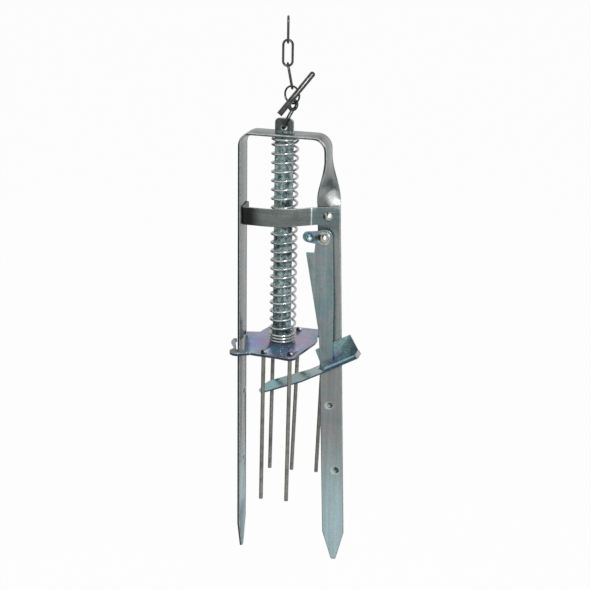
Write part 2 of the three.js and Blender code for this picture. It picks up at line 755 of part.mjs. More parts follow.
// Closed oval of wire: two straight sides and two half rings, in the plane of x and z
function linkPiece() {
  const bendRadius = (linkWidth - linkWire) / 2;
  const straight = linkLength - linkWidth;
  const points = [];
  const bendSteps = 8;
  for (const end of [1, -1]) {
    for (let i = 0; i <= bendSteps; i++) {
      const angle = (Math.PI * i) / bendSteps + (end > 0 ? 0 : Math.PI);
      const z = (end * straight) / 2 + bendRadius * Math.sin(angle);
      points.push(new THREE.Vector3(bendRadius * Math.cos(angle), 0, z));
    }
  }
  return wire(points, linkWire, wireSides, true);
}

function ringPiece() {
  const ringSteps = 32;
  const middle = (ringOuterDiameter - ringWire) / 2;
  const ring = new THREE.TorusGeometry(middle, ringWire / 2, wireSides, ringSteps);
  ring.rotateX(Math.PI / 2);
  return outwardOf(ring);
}

// Toggle bar along +X from its cross hole, cut square at one end and round at the other
function togglePiece(holeAxis) {
  const radius = toggleDiameter / 2;
  const profile = [new THREE.Vector2(0, -toggleFoot), new THREE.Vector2(radius, -toggleFoot)];
  const domeSteps = 5;
  for (let i = 0; i <= domeSteps; i++) {
    const angle = (Math.PI / 2) * (i / domeSteps);
    profile.push(new THREE.Vector2(radius * Math.cos(angle), toggleHead - radius + radius * Math.sin(angle)));
  }
  profile[profile.length - 1].x = 0;
  const bar = new THREE.LatheGeometry(profile, toggleSides);
  bar.rotateZ(-Math.PI / 2);
  const drill = toggleHoleDiameter / 2;
  const hole = new THREE.CylinderGeometry(drill, drill, 3 * toggleDiameter, toggleSides);
  hole.applyQuaternion(new THREE.Quaternion().setFromUnitVectors(new THREE.Vector3(0, 1, 0), holeAxis));
  return cut(outwardOf(bar), [hole]);
}

// Plunger eye: a wire ring on top, a shank down to the front of the bar, through its hole
// and up behind it
function eyePiece(eyeCentre) {
  const radius = (eyeOuterDiameter - eyeWire) / 2;
  const across = new THREE.Vector3(Math.cos(eyeTurn), Math.sin(eyeTurn), 0);
  const ringPoints = Array.from({ length: eyeSteps }, (_, i) => {
    const angle = (2 * Math.PI * i) / eyeSteps;
    const point = eyeCentre.clone().addScaledVector(across, radius * Math.cos(angle));
    point.z += radius * Math.sin(angle);
    return point;
  });
  const loop = wire(ringPoints, eyeWire, wireSides, true);
  const clear = barThickness / 2 + touchGap + eyeWire / 2;
  const shank = new THREE.CatmullRomCurve3([
    eyeCentre.clone().add(new THREE.Vector3(0, 0, -radius)),
    new THREE.Vector3(eyeCentre.x / 2, -clear * 1.1, eyeHoleHeight + eyeWire * 2.4),
    new THREE.Vector3(eyeWire / 4, -clear * 1.15, eyeHoleHeight + eyeWire * 0.75),
    new THREE.Vector3(0, -clear * 0.75, eyeHoleHeight),
    new THREE.Vector3(0, 0, eyeHoleHeight - touchGap),
    new THREE.Vector3(0, clear * 0.75, eyeHoleHeight),
    new THREE.Vector3(-eyeWire / 8, clear * 1.15, eyeHoleHeight + eyeWire * 0.75),
    new THREE.Vector3(-eyeWire / 4, clear * 1.25, eyeHoleHeight + eyeTipRise),
  ], false, "centripetal");
  const tail = wire(shank.getPoints(shankSteps), eyeWire, wireSides);
  return joined([loop, tail]);
}

// Assembly
const trap = new THREE.Group();

add(trap, "frame_strap", framePiece(), materials.strap);
add(trap, "brace_band", braceBand(), materials.strap);

const rightLeg = new THREE.Group();
rightLeg.position.set(rightLegX, 0, 0);
rightLeg.rotation.y = -rightSplay;
trap.add(rightLeg);

const legBack = strapThickness / 2 + touchGap;
const bandFront = legFront - 2 * touchGap - bandThickness;
const braceRivet = rivet(0, -bandDrop, braceRivetHead, bandFront, legBack);
const leverRivet = rivet(leverSide, -leverDrop, leverRivetHead, washerFront - touchGap, legBack);
add(rightLeg, "brace_rivet", braceRivet, materials.rivet);
add(rightLeg, "lever_rivet", leverRivet, materials.rivet);

const leverPivot = new THREE.Group();
leverPivot.position.set(leverSide, 0, -leverDrop);
rightLeg.add(leverPivot);
add(leverPivot, "lever_spacer", washer(flangeFront, flangeBack, washerDiameter), materials.rivet);
add(leverPivot, "lever_washer", washer(washerFront, washerBack, washerDiameter), materials.rivet);
add(leverPivot, "catch_lever", leverPiece(), materials.strap);
const latch = add(leverPivot, "safety_latch", latchPiece(), materials.trigger);
latch.rotation.y = -latchDroop;

const triggerPivot = new THREE.Group();
triggerPivot.position.set(triggerSide, 0, -triggerDrop);
rightLeg.add(triggerPivot);
add(triggerPivot, "trigger_rivet", triggerRivet(), materials.rivet);
const trigger = add(triggerPivot, "trigger_pan", triggerPiece(), materials.trigger);
trigger.rotation.y = -triggerTilt + rightSplay;

add(trap, "plunger_bar", plungerBar(), materials.bar);
add(trap, "spike_plate", spikePlate(), materials.plate);
const { front, rear } = spikePlaces();
const fittedSpikes = [front[1], front[2], rear[0], rear[1], rear[2]];
fittedSpikes.forEach((place, i) => add(trap, `spike_${i + 1}`, spike(place, spikeLeans[i]), materials.spike));

const { points: springLine, turns: springTurns } = springPoints();
add(trap, "plunger_spring", wire(springLine, springWire, springSides), materials.wire);
const springGap = leastGap(springLine, springWire, stepsPerCurl - 1);
console.log(`plunger spring: ${springTurns} turns, least gap to itself ${springGap.toFixed(2)} mm`);

// Ring and what hangs in it, from the ring's top wire down
const ringRadius = (ringOuterDiameter - ringWire) / 2;
const linkBend = linkLength - linkWire;
const thirdFoot = new THREE.Vector3(0, 0, 0);
const ringAcross = new THREE.Vector3(Math.cos(ringTurn), Math.sin(ringTurn), 0);
const wireStack = (linkWire + ringWire) / 2 + touchGap;
thirdFoot.z = ringTopRise - wireStack;
thirdFoot.x = chainSide + linkBend * Math.sin(thirdLinkTilt);
const ringCentre = new THREE.Vector3(thirdFoot.x, 0, ringTopRise - ringRadius);
const eyeRadius = (eyeOuterDiameter - eyeWire) / 2;
const eyeStack = (ringWire + eyeWire) / 2 + touchGap;
const eyeCentreRise = ringCentre.z - ringRadius + eyeStack - eyeRadius;
const eyeCentre = new THREE.Vector3(ringCentre.x + eyeSide, 0, eyeCentreRise);
add(trap, "plunger_eye", eyePiece(eyeCentre), materials.chain);

const ring = add(trap, "pull_ring", ringPiece(), materials.chain);
ring.position.copy(ringCentre);
ring.rotation.z = ringTurn;

// The toggle bar's cross hole sits on the ring's wire, and the hole follows the wire
const holePlace = ringCentre.clone()
  .addScaledVector(ringAcross, ringRadius * Math.cos(toggleOnRing))
  .add(new THREE.Vector3(0, 0, ringRadius * Math.sin(toggleOnRing)));
const wireDirection = ringAcross.clone().multiplyScalar(-Math.sin(toggleOnRing));
wireDirection.z = Math.cos(toggleOnRing);
const toggleDirection = new THREE.Vector3(Math.cos(toggleRise), Math.tan(toggleLean), Math.sin(toggleRise));
toggleDirection.normalize();
const toggleTurn = new THREE.Quaternion().setFromUnitVectors(new THREE.Vector3(1, 0, 0), toggleDirection);
const holeAxis = wireDirection.clone().applyQuaternion(toggleTurn.clone().invert());
const toggle = add(trap, "toggle_bar", togglePiece(holeAxis), materials.chain);
toggle.position.copy(holePlace);
toggle.quaternion.copy(toggleTurn);

// Chain links, from the ring up
function addLink(name, foot, tilt, turn) {
  const holder = new THREE.Group();
  holder.position.copy(foot);
  holder.rotation.y = tilt;
  trap.add(holder);
  const link = add(holder, name, linkPiece(), materials.chain);
  link.position.z = linkBend / 2;
  link.rotation.z = turn;
}
const linkStack = linkWire + touchGap;
addLink("chain_link_3", thirdFoot, -thirdLinkTilt, Math.PI / 2 + chainTurn);
const secondFootRise = thirdFoot.z + linkBend * Math.cos(thirdLinkTilt) - linkStack;
const secondFoot = new THREE.Vector3(chainSide, 0, secondFootRise);
addLink("chain_link_2", secondFoot, 0, chainTurn);
const firstFoot = new THREE.Vector3(chainSide, 0, secondFoot.z + linkBend - linkStack);
addLink("chain_link_1", firstFoot, 0, Math.PI / 2 + chainTurn);

// The trap hangs from the inside top of its first link
const hangRise = firstFoot.z + linkBend - linkWire / 2;
trap.position.set(-chainSide, 0, -hangRise);

const part = new THREE.Group();
part.add(trap);

export default part;
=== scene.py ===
import math

import bmesh
import bpy
from mathutils import Matrix, Vector


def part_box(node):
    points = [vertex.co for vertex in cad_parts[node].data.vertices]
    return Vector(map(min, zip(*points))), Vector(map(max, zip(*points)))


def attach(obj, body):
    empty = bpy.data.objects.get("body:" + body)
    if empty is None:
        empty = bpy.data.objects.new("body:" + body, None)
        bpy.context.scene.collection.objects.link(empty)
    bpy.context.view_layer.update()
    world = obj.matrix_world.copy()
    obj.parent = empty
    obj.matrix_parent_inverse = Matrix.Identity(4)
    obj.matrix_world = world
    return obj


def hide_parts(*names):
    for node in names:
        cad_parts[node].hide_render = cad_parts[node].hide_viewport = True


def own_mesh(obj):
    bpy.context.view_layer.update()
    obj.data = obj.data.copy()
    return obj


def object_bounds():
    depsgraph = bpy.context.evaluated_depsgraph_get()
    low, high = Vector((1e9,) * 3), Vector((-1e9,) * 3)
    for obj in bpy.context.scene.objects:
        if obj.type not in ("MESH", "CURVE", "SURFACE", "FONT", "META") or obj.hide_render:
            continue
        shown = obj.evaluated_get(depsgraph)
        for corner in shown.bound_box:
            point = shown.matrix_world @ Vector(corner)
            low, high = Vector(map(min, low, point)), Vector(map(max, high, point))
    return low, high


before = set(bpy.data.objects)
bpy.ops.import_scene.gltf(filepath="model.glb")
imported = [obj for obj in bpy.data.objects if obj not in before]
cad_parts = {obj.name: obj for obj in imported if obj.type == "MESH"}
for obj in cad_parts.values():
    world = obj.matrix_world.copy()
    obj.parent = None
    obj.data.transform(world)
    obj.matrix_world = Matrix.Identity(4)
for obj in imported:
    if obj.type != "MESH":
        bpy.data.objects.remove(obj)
cad_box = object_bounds()

# Frame
# One strap of flat steel bent to an upside-down U, with a quarter twist in its right leg and
# both feet sheared to points. It is zinc plated all over, grey-green and paler towards the feet.
# A slot in the top lets the plunger through.

mm = 0.001
strap_width = 26 * mm
strap_thickness = 3.2 * mm
frame_height = 515 * mm
frame_width = 98 * mm
right_leg_out = 1.5 * mm
corner_radius = 16 * mm
right_splay = math.radians(2.12)
twist_start = 24 * mm
twist_end = 77 * mm
twist_delay = 1.7
twist_steps = 28
bend_steps = 12
point_length = 36 * mm
point_width = 5.5 * mm
slot_length = 22.4 * mm
slot_width = 4.4 * mm
strap_edge = 0.9 * mm
punch_diameter = 9.6 * mm
punch_depth = 1.1 * mm
point_diameter = 3.6 * mm
point_depth = 1.1 * mm
right_punches = ((315 * mm, -2.8 * mm), (397 * mm, 3.4 * mm))
left_punches = ((313 * mm, -5 * mm), (399 * mm, -4.5 * mm))
even = (1, 1, 1)
# Near black, used for painted shade.
shade_black = "121615"

leg_x = frame_width / 2 - strap_thickness / 2
right_leg_x = leg_x + right_leg_out
bar_low, bar_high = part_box("plunger_bar")
top_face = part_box("frame_strap")[1].z
trap_place = Matrix.Translation(((bar_low.x + bar_high.x) / 2, 0, top_face))
leg_drawn = Matrix.Translation((right_leg_x, 0, 0)) @ Matrix.Rotation(-right_splay, 4, "Y")
right_leg_place = trap_place @ leg_drawn


def deselect():
    bpy.ops.object.select_all(action="DESELECT")


def edit(piece):
    deselect()
    piece.select_set(True)
    bpy.context.view_layer.objects.active = piece
    bpy.ops.object.mode_set(mode="EDIT")
    bpy.ops.mesh.select_all(action="DESELECT")


def leave_edit():
    bpy.ops.object.mode_set(mode="OBJECT")


def pick(piece, near, faces=False):
    """Selects the vertices, or the faces, whose middle passes the test, in edit mode. A known fault:
    a face that fails takes corners off a neighbour that passed, so spike heads and domes stay open."""
    mesh = bmesh.from_edit_mesh(piece.data)
    for item in (mesh.faces if faces else mesh.verts):
        item.select_set(near(item.calc_center_median() if faces else item.co))
    mesh.select_flush_mode()
    bmesh.update_edit_mesh(piece.data)


def push(x, y, z):
    bpy.ops.mesh.extrude_region_move(TRANSFORM_OT_translate={"value": (x, y, z)})


def turn(angle, axis, centre):
    """Turns what is selected the right-handed way, against the operator's own way with no window."""
    bpy.ops.transform.rotate(value=-angle, orient_axis=axis, orient_type="GLOBAL", center_override=centre)


def bend(angle, centre, steps):
    """Carries the open end round a former whose axis runs front to back."""
    bpy.ops.mesh.spin(steps=steps, angle=angle, center=centre, axis=(0, 1, 0))


def open_section(name, size_x, size_y, centre):
    """The open end of a strap, four edges lying flat, left in edit mode."""
    deselect()
    bpy.ops.mesh.primitive_plane_add(size=1)
    section = bpy.context.object
    section.name = name
    section.matrix_world = Matrix.Translation(centre) @ Matrix.Diagonal((size_x, size_y, 1, 1))
    bpy.ops.object.transform_apply()
    bpy.ops.object.mode_set(mode="EDIT")
    bpy.ops.mesh.delete(type="ONLY_FACE")
    bpy.ops.mesh.select_all(action="SELECT")
    return section


def close_ends():
    bpy.ops.mesh.select_all(action="DESELECT")
    bpy.ops.mesh.select_non_manifold()
    bpy.ops.mesh.fill_holes(sides=0)
    bpy.ops.mesh.select_all(action="SELECT")
    bpy.ops.mesh.normals_make_consistent(inside=False)


def apply_modifier(piece, kind, **settings):
    deselect()
    piece.select_set(True)
    bpy.context.view_layer.objects.active = piece
    modifier = piece.modifiers.new(kind.title(), kind)
    for key, value in settings.items():
        setattr(modifier, key, value)
    bpy.ops.object.modifier_apply(modifier=modifier.name)


def soften(piece, width, segments=2, sharpest=math.radians(35), coat=-1):
    """Takes the sharpness off the edges, which may get a coat of their own."""
    apply_modifier(piece, "BEVEL", width=width, segments=segments, limit_method="ANGLE",
                   angle_limit=sharpest, harden_normals=False, material=coat)


def carve(piece, cutter, operation="DIFFERENCE"):
    apply_modifier(piece, "BOOLEAN", object=cutter, operation=operation, solver="EXACT")
    bpy.data.objects.remove(cutter)


def smooth(piece, angle=math.radians(38)):
    deselect()
    piece.select_set(True)
    bpy.context.view_layer.objects.active = piece
    bpy.ops.object.shade_smooth_by_angle(angle=angle)


def settle(piece, place, body, nodes, finish=None):
    """Puts the finished piece in its place, on its body and in its finish, where it has none yet."""
    deselect()
    piece.matrix_world = place @ piece.matrix_world
    piece.select_set(True)
    bpy.context.view_layer.objects.active = piece
    bpy.ops.object.transform_apply()
    if finish:
        piece.data.materials.clear()
        piece.data.materials.append(finish)
    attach(piece, body)
    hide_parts(*nodes)
    return piece


def round_cutter(x, z, diameter, front, back, vertices=48):
    """A round bar along Y, to drill a hole with."""
    deselect()
    bpy.ops.mesh.primitive_cylinder_add(vertices=vertices, radius=diameter / 2, depth=back - front,
                                        location=(x, (front + back) / 2, z), rotation=(math.pi / 2, 0, 0))
    return bpy.context.object


def colour(code):
    """Linear red, green, blue of a screen colour."""
    parts = [int(code[i:i + 2], 16) / 255 for i in (0, 2, 4)]
    return tuple(c / 12.92 if c <= 0.04045 else ((c + 0.055) / 1.055) ** 2.4 for c in parts) + (1,)


flat = 0
sheared = 1
arris = 2
coat_specular = 0.3
pattern_low = 0.32
pattern_high = 0.68
rolled_grain = 300
spangle_grain = 330
ragged_grain = 110
grain_low = 0.35
grain_high = 0.65
rim_width = 0.6 * mm
rim_samples = 8
rim_starts = 0.98
rim_lightest = 0.8
relief_depth = 0.2 * mm


def dress(piece, coat, is_edge):
    """The coat on the flat sides of a strip or sheet, another on its sheared edges, and a third
    that soften gives to the arrises."""
    for finish in (coat, sheared_finish, arris_finish):
        piece.data.materials.append(finish)
    for face in piece.data.polygons:
        face.material_index = sheared if is_edge(face) else flat


def coated(name, tones, streaks=(1, 1, 0.04), cloud=18, rolling=0.14, mottling=0.1, rim="a9b0af",
           roughness=(0.2, 0.3), bump=0.08, metallic=0.6, grime=0.3, grime_side=(-0.62, 0.1, -0.78),
           grime_reach=0.8, seat=trap_place, fades=(), patches=()):
    """Zinc coat: tones drift over the piece in clouds, fine streaks follow the rolling of the
    steel, and spangles a few millimetres wide mottle it. Painted shade darkens the sides that
    face down and away from the light, and the rims are lighter. A fade is a row of axis, start,
    end and tone, a patch one of x, y, z, inner and outer reach and tone, both in mm from the seat."""
    finish = bpy.data.materials.new(name)
    finish.use_nodes = True
    nodes, links = finish.node_tree.nodes, finish.node_tree.links
    shader = nodes["Principled BSDF"]
    shader.inputs["Metallic"].default_value = metallic
    shader.inputs["Specular IOR Level"].default_value = coat_specular
    place_node = nodes.new("ShaderNodeTexCoord")
    place = place_node.outputs["Object"]

    def noise(scale, detail, stretch=even, distortion=0):
        mapping = nodes.new("ShaderNodeMapping")
        mapping.inputs["Scale"].default_value = stretch
        links.new(place, mapping.inputs["Vector"])
        pattern = nodes.new("ShaderNodeTexNoise")
        pattern.inputs["Scale"].default_value = scale
        pattern.inputs["Detail"].default_value = detail
        pattern.inputs["Distortion"].default_value = distortion
        links.new(mapping.outputs["Vector"], pattern.inputs["Vector"])
        return pattern.outputs["Fac"]

    def ramp(value, stops):
        band = nodes.new("ShaderNodeValToRGB")
        elements = band.color_ramp.elements
        while len(elements) < len(stops):
            elements.new(0.5)
        for element, (position, tone) in zip(elements, stops):
            element.position = position
            element.color = tone
        links.new(value, band.inputs["Fac"])
        return band.outputs["Color"]

    def between(value, low, high, low_out=0, high_out=1, interpolation="LINEAR"):
        span = nodes.new("ShaderNodeMapRange")
        span.interpolation_type = interpolation
        limits = {"From Min": low, "From Max": high, "To Min": low_out, "To Max": high_out}
        for socket, number in limits.items():
            span.inputs[socket].default_value = number
        links.new(value, span.inputs["Value"])
        return span.outputs["Result"]

    def mix(kind, factor, a, b):
        blend = nodes.new("ShaderNodeMix")
        blend.data_type = "RGBA"
        blend.blend_type = kind
        if isinstance(factor, float):
            blend.inputs["Factor"].default_value = factor
        else:
            links.new(factor, blend.inputs["Factor"])
        for value, socket in ((a, blend.inputs["A"]), (b, blend.inputs["B"])):
            if isinstance(value, tuple):
                socket.default_value = value
            else:
                links.new(value, socket)
        return blend.outputs["Result"]

    def vector_math(operation, value, fixed):
        maths = nodes.new("ShaderNodeVectorMath")
        maths.operation = operation
        links.new(value, maths.inputs[0])
        maths.inputs[1].default_value = fixed
        return maths.outputs["Value"]

    steps = len(tones) - 1
    stops = [(pattern_low + (pattern_high - pattern_low) * i / steps, colour(tone))
             for i, tone in enumerate(tones)]
    coat = ramp(noise(cloud, detail=2, distortion=0.8), stops)
    if fades:
        split = nodes.new("ShaderNodeSeparateXYZ")
        links.new(place, split.inputs["Vector"])
        for axis, start, end, tone in fades:
            origin = seat.translation["XYZ".index(axis)]
            reach = between(split.outputs[axis], origin + start * mm, origin + end * mm,
                            interpolation="SMOOTHSTEP")
            coat = mix("MIX", reach, coat, colour(tone))
    for x, y, z, inner, outer, tone in patches:
        gap = vector_math("DISTANCE", place, seat @ (Vector((x, y, z)) * mm))
        ragged = nodes.new("ShaderNodeMath")
        ragged.operation = "MULTIPLY_ADD"
        links.new(noise(ragged_grain, detail=2), ragged.inputs[0])
        ragged.inputs[1].default_value = outer * mm
        links.new(gap, ragged.inputs[2])
        near = between(ragged.outputs["Value"], outer * 1.5 * mm, (inner + outer / 2) * mm,
                       interpolation="SMOOTHSTEP")
        coat = mix("MIX", near, coat, colour(tone))
    rolled = noise(rolled_grain, detail=3, stretch=streaks)
    spangles = noise(spangle_grain, detail=3, distortion=1.2)
    for pattern, depth in ((rolled, rolling), (spangles, mottling)):
        darker, lighter = (1 - depth,) * 3 + (1,), (1 + depth,) * 3 + (1,)
        shade = ramp(pattern, [(pattern_low, darker), (pattern_high, lighter)])
        coat = mix("MULTIPLY", 1.0, coat, shade)
    # Painted shade: the sides that face the shaded side are darkened.
    facing = vector_math("DOT_PRODUCT", place_node.outputs["Normal"], grime_side)
    in_shade = between(facing, 0.0, grime_reach, interpolation="SMOOTHSTEP")
    coat = mix("MULTIPLY", in_shade, coat, (1 - grime,) * 3 + (1,))
    if rim:
        rounding = nodes.new("ShaderNodeBevel")
        rounding.samples = rim_samples
        rounding.inputs["Radius"].default_value = rim_width
        outward = nodes.new("ShaderNodeNewGeometry")
        parting = nodes.new("ShaderNodeVectorMath")
        parting.operation = "DOT_PRODUCT"
        links.new(rounding.outputs["Normal"], parting.inputs[0])
        links.new(outward.outputs["Normal"], parting.inputs[1])
        rim_lightening = between(parting.outputs["Value"], rim_starts, rim_lightest)
        coat = mix("MIX", rim_lightening, coat, colour(rim))
    links.new(coat, shader.inputs["Base Color"])

    grain = mix("MIX", 0.5, spangles, rolled)
    gloss = between(grain, grain_low, grain_high, *roughness)
    links.new(gloss, shader.inputs["Roughness"])
    relief = nodes.new("ShaderNodeBump")
    relief.inputs["Strength"].default_value = bump
    relief.inputs["Distance"].default_value = relief_depth
    links.new(grain, relief.inputs["Height"])
    links.new(relief.outputs["Normal"], shader.inputs["Normal"])
    return finish


def edge_coat(name, tones, cloud=60, **looks):
    """The plain coat of sheared edges and arrises, with neither rolling streaks nor lighter rims."""
    return coated(name, tones, streaks=even, cloud=cloud, rim=None, **looks)


middle_radius = corner_radius - strap_thickness / 2
top_middle = -strap_thickness / 2
set_back = middle_radius * math.tan((math.pi / 2 - right_splay) / 2)
strap = open_section("frame_strap_bent", point_width, strap_thickness, (right_leg_x, 0, -frame_height))
push(0, 0, point_length)
bpy.ops.transform.resize(value=(strap_width / point_width, 1, 1), center_override=(right_leg_x, 0, 0))
push(0, 0, frame_height - point_length - twist_end)
turned_so_far = 0
for step in range(1, twist_steps + 1):
    eased = math.pi / 2 * (1 - (1 - step / twist_steps) ** twist_delay)
    push(0, 0, (twist_end - twist_start) / twist_steps)
    turn(eased - turned_so_far, "Z", (right_leg_x, 0, 0))
    turned_so_far = eased
push(0, 0, twist_start - strap_thickness / 2 - set_back)
bpy.ops.mesh.select_all(action="SELECT")
turn(-right_splay, "Y", (right_leg_x, 0, top_middle))
highest = max(v.co.z for v in bmesh.from_edit_mesh(strap.data).verts)
pick(strap, lambda co: co.z > highest - strap_thickness)
bend(math.pi / 2 - right_splay, (right_leg_x - set_back, 0, top_middle - middle_radius), bend_steps)
push(-leg_x - right_leg_x + set_back + middle_radius, 0, 0)
bend(math.pi / 2, (-leg_x + middle_radius, 0, top_middle - middle_radius), bend_steps)
push(0, 0, -(frame_height - point_length - corner_radius))
push(0, 0, -point_length)
bpy.ops.transform.resize(value=(1, point_width / strap_width, 1), center_override=(-leg_x, 0, -frame_height))
close_ends()
leave_edit()
deselect()
bpy.ops.mesh.primitive_cube_add(size=1)
slot_cutter = bpy.context.object
slot_cutter.matrix_world = Matrix.Diagonal((slot_length, slot_width, strap_thickness * 3, 1))
facing_front = Matrix.Rotation(math.pi / 2, 4, "X")
facing_right = Matrix.Rotation(math.pi / 2, 4, "Y")
punch_places = [leg_drawn @ Matrix.Translation((side, -strap_thickness / 2, -drop)) @ facing_front
                for drop, side in right_punches]
punch_places += [Matrix.Translation((-leg_x + strap_thickness / 2, -side, -drop)) @ facing_right
                 for drop, side in left_punches]
# A darker area round the band on the right leg, a painted dark reflection and a painted highlight on the
# twist, and a teal tint at the left foot.
strap_patches = [(54.6, 0, -89.2, 6, 34, "59605f"), (56.2, -5, -52.2, 5, 15, "4a504f"),
                 (58.6, -4, -68.2, 1, 12, "f7faf9"), (-46.4, 0, -499.2, 25, 62, "5b7a80")]
# Each punch mark gets a painted highlight ring round painted shade in the dent.
for place in punch_places:
    x, y, z = place.translation / mm
    strap_patches += [(x, y, z, 4, 6.2, "aab4b4"), (x + 0.8, y, z + 0.5, 2.6, 4.6, "3a4142")]
# A dark line of painted shade along the left edge.
left_edge_shade = ("X", -46.6, -47.4, shade_black)
frame_finish = coated("strap_zinc", ("727b7a", "7c8382", "828280", "798284"), streaks=(1, 1, 0.03),
                      cloud=24, rolling=0.09, mottling=0.05, patches=strap_patches,
                      # Fades: paler towards the feet, painted shade on the top of the strap and along its
                      # rear edge.
                      fades=(("Z", -330, -470, "9ab0b4"), ("Z", -5, -1, "4f5554"),
                             ("Y", 8.6, 9.6, "3a403f")))
# Sheared edges: painted shade as dark lines at the left and right edges and under the top, and a painted
# highlight along the top's front edge.
sheared_finish = edge_coat("sheared_zinc", ("747b7a", "848b8a", "7d8483"),
                           fades=(left_edge_shade, ("X", 46.6, 48.6, "2c3231"),
                                  ("Z", -3.2, -2.9, shade_black), ("Z", -1.8, -1.4, "a9b0af")))
# Arrises: painted shade on the sides that face down and to the left.
arris_finish = edge_coat("arris_grime", ("7d8584", "949b9a", "888f8e"), cloud=80, roughness=(0.35, 0.5),
                         grime=0.9, grime_side=(-0.8, 0, -0.6), grime_reach=0.45, fades=(left_edge_shade,))


def on_strap_edge(face):
    middle = face.center
    if middle.x < 0 or middle.z > -twist_start:
        return abs(middle.y) > strap_width / 4
    axis_x = right_leg_x - math.tan(right_splay) * middle.z
    return math.hypot(middle.x - axis_x, middle.y) > strap_width / 4


dress(strap, frame_finish, on_strap_edge)
carve(strap, slot_cutter)
soften(strap, strap_edge, 3, coat=arris)


def punch_mark(place):
    """A round dent from the punch, with the mark of its point in the middle."""
    ball = (punch_diameter ** 2 / 4 + punch_depth ** 2) / (2 * punch_depth)
    deselect()
    bpy.ops.mesh.primitive_uv_sphere_add(segments=64, ring_count=64, radius=ball,
                                         location=(0, 0, ball - punch_depth))
    dent = bpy.context.object
    bpy.ops.object.transform_apply()
    dent.matrix_world = place
    carve(strap, dent)
    deselect()
    bpy.ops.mesh.primitive_cone_add(vertices=32, radius1=0, radius2=point_diameter, depth=point_depth * 2,
                                    location=(0, 0, -punch_depth))
    point = bpy.context.object
    bpy.ops.object.transform_apply()
    for finish in (frame_finish, sheared_finish, arris_finish):
        point.data.materials.append(finish)
    for face in point.data.polygons:
        face.material_index = arris
    point.matrix_world = place
    carve(strap, point)


for place in punch_places:
    punch_mark(place)
smooth(strap)

settle(strap, trap_place, "frame", ["frame_strap"])

# Brace band
# Thin strip hooked round the left leg, bowed past the front of the spring and held on the right
# leg by one rivet. It is cold-rolled strip with the same zinc coat; painted shade darkens it towards the
# left leg.

band_height = 20.3 * mm
band_thickness = 1.8 * mm
band_drop = 88.5 * mm
band_lean = math.radians(3.6)
band_reach = 12.8 * mm
band_bow = 19.45 * mm
band_spring_side = 1.1 * mm
hook_lip = 5 * mm
touch_gap = 0.3 * mm
bow_radius = 60 * mm
tight_radius = 3 * mm
sheet_round = 0.35 * mm
squarely = 0.7


def rounded(corners, closed=False, step=math.radians(9)):
    """Points of an outline from its corners, each of x, y and the radius that rounds it."""
    line = []
    count = len(corners)
    for i, (x, y, radius) in enumerate(corners):
        here = Vector((x, y))
        if not closed and i in (0, count - 1) or radius == 0:
            line.append(here)
            continue
        into = (here - Vector(corners[i - 1][:2])).normalized()
        out = (Vector(corners[(i + 1) % count][:2]) - here).normalized()
        bend_angle = math.atan2(into.x * out.y - into.y * out.x, into.dot(out))
        side = math.copysign(1, bend_angle)
        start = here - into * radius * math.tan(abs(bend_angle) / 2)
        centre = start + Vector((-into.y, into.x)) * side * radius
        steps = max(2, round(abs(bend_angle) / step))
        for k in range(steps + 1):
            line.append(centre + Matrix.Rotation(bend_angle * k / steps, 2) @ (start - centre))
    return line


def bent_strip(name, line, height, thickness):
    """A strip standing on edge, bent along a line seen from above."""
    deselect()
    bpy.ops.mesh.primitive_grid_add(x_subdivisions=len(line) - 1, y_subdivisions=1, size=1)
    strip = bpy.context.object
    strip.name = name
    count = len(line)
    for i, vertex in enumerate(strip.data.vertices):
        point = line[i % count]
        vertex.co = (point.x, point.y, height / 2 if i >= count else -height / 2)
    apply_modifier(strip, "SOLIDIFY", thickness=thickness, offset=0, use_even_offset=True)
    return strip


rivet_x = right_leg_x + math.tan(right_splay) * band_drop
band_seat = -strap_thickness / 2 - touch_gap - band_thickness / 2
band_inner = -frame_width / 2 + strap_thickness + touch_gap + band_thickness / 2
band_outer = -frame_width / 2 - touch_gap - band_thickness / 2
leg_edge = strap_width / 2 + touch_gap + band_thickness / 2
band_line = rounded([
    (band_outer, leg_edge - hook_lip, 0),
    (band_outer, leg_edge, band_thickness),
    (band_inner, leg_edge, band_thickness),
    (band_inner, -strap_width / 2 + tight_radius, tight_radius),
    (band_spring_side, -band_bow, bow_radius),
    (rivet_x - strap_width / 2 - touch_gap, band_seat, tight_radius),
    (rivet_x + band_reach, band_seat, 0),
])
band = bent_strip("brace_band_bent", band_line, band_height, band_thickness)
for vertex in band.data.vertices:
    vertex.co.z += (vertex.co.x - rivet_x) * math.tan(band_lean) - band_drop
# Painted shade darkens the band towards the left leg; a painted highlight lies along the crease, then the
# flat end keeps its own tone.
band_finish = coated("band_zinc", ("555b5a", "5f6563", "656967", "5a6262"), streaks=(0.05, 0.05, 1),
                     cloud=30, fades=(("X", -17.4, -35.4, "141716"), ("X", 32.8, 33.4, "b9c6c4"),
                                      ("X", 34, 34.6, "5d6c6d")))
dress(band, band_finish, lambda face: abs(face.normal.z) > squarely)
# The band's top and bottom edges are painted bright as a highlight, with painted shade towards the left leg.
band.data.materials[sheared] = edge_coat("band_edge", ("a9b3b2", "c0c8c7", "b4bcbb"),
                                         fades=(("X", -9.4, -23.4, "3f4746"),))
soften(band, sheet_round, coat=arris)
smooth(band)
settle(band, trap_place, "frame", ["brace_band"])

# Brace rivet
# Domed steel rivet, headed cold and plated bright. Its shank goes through band and leg and is
# peened over a low head behind.

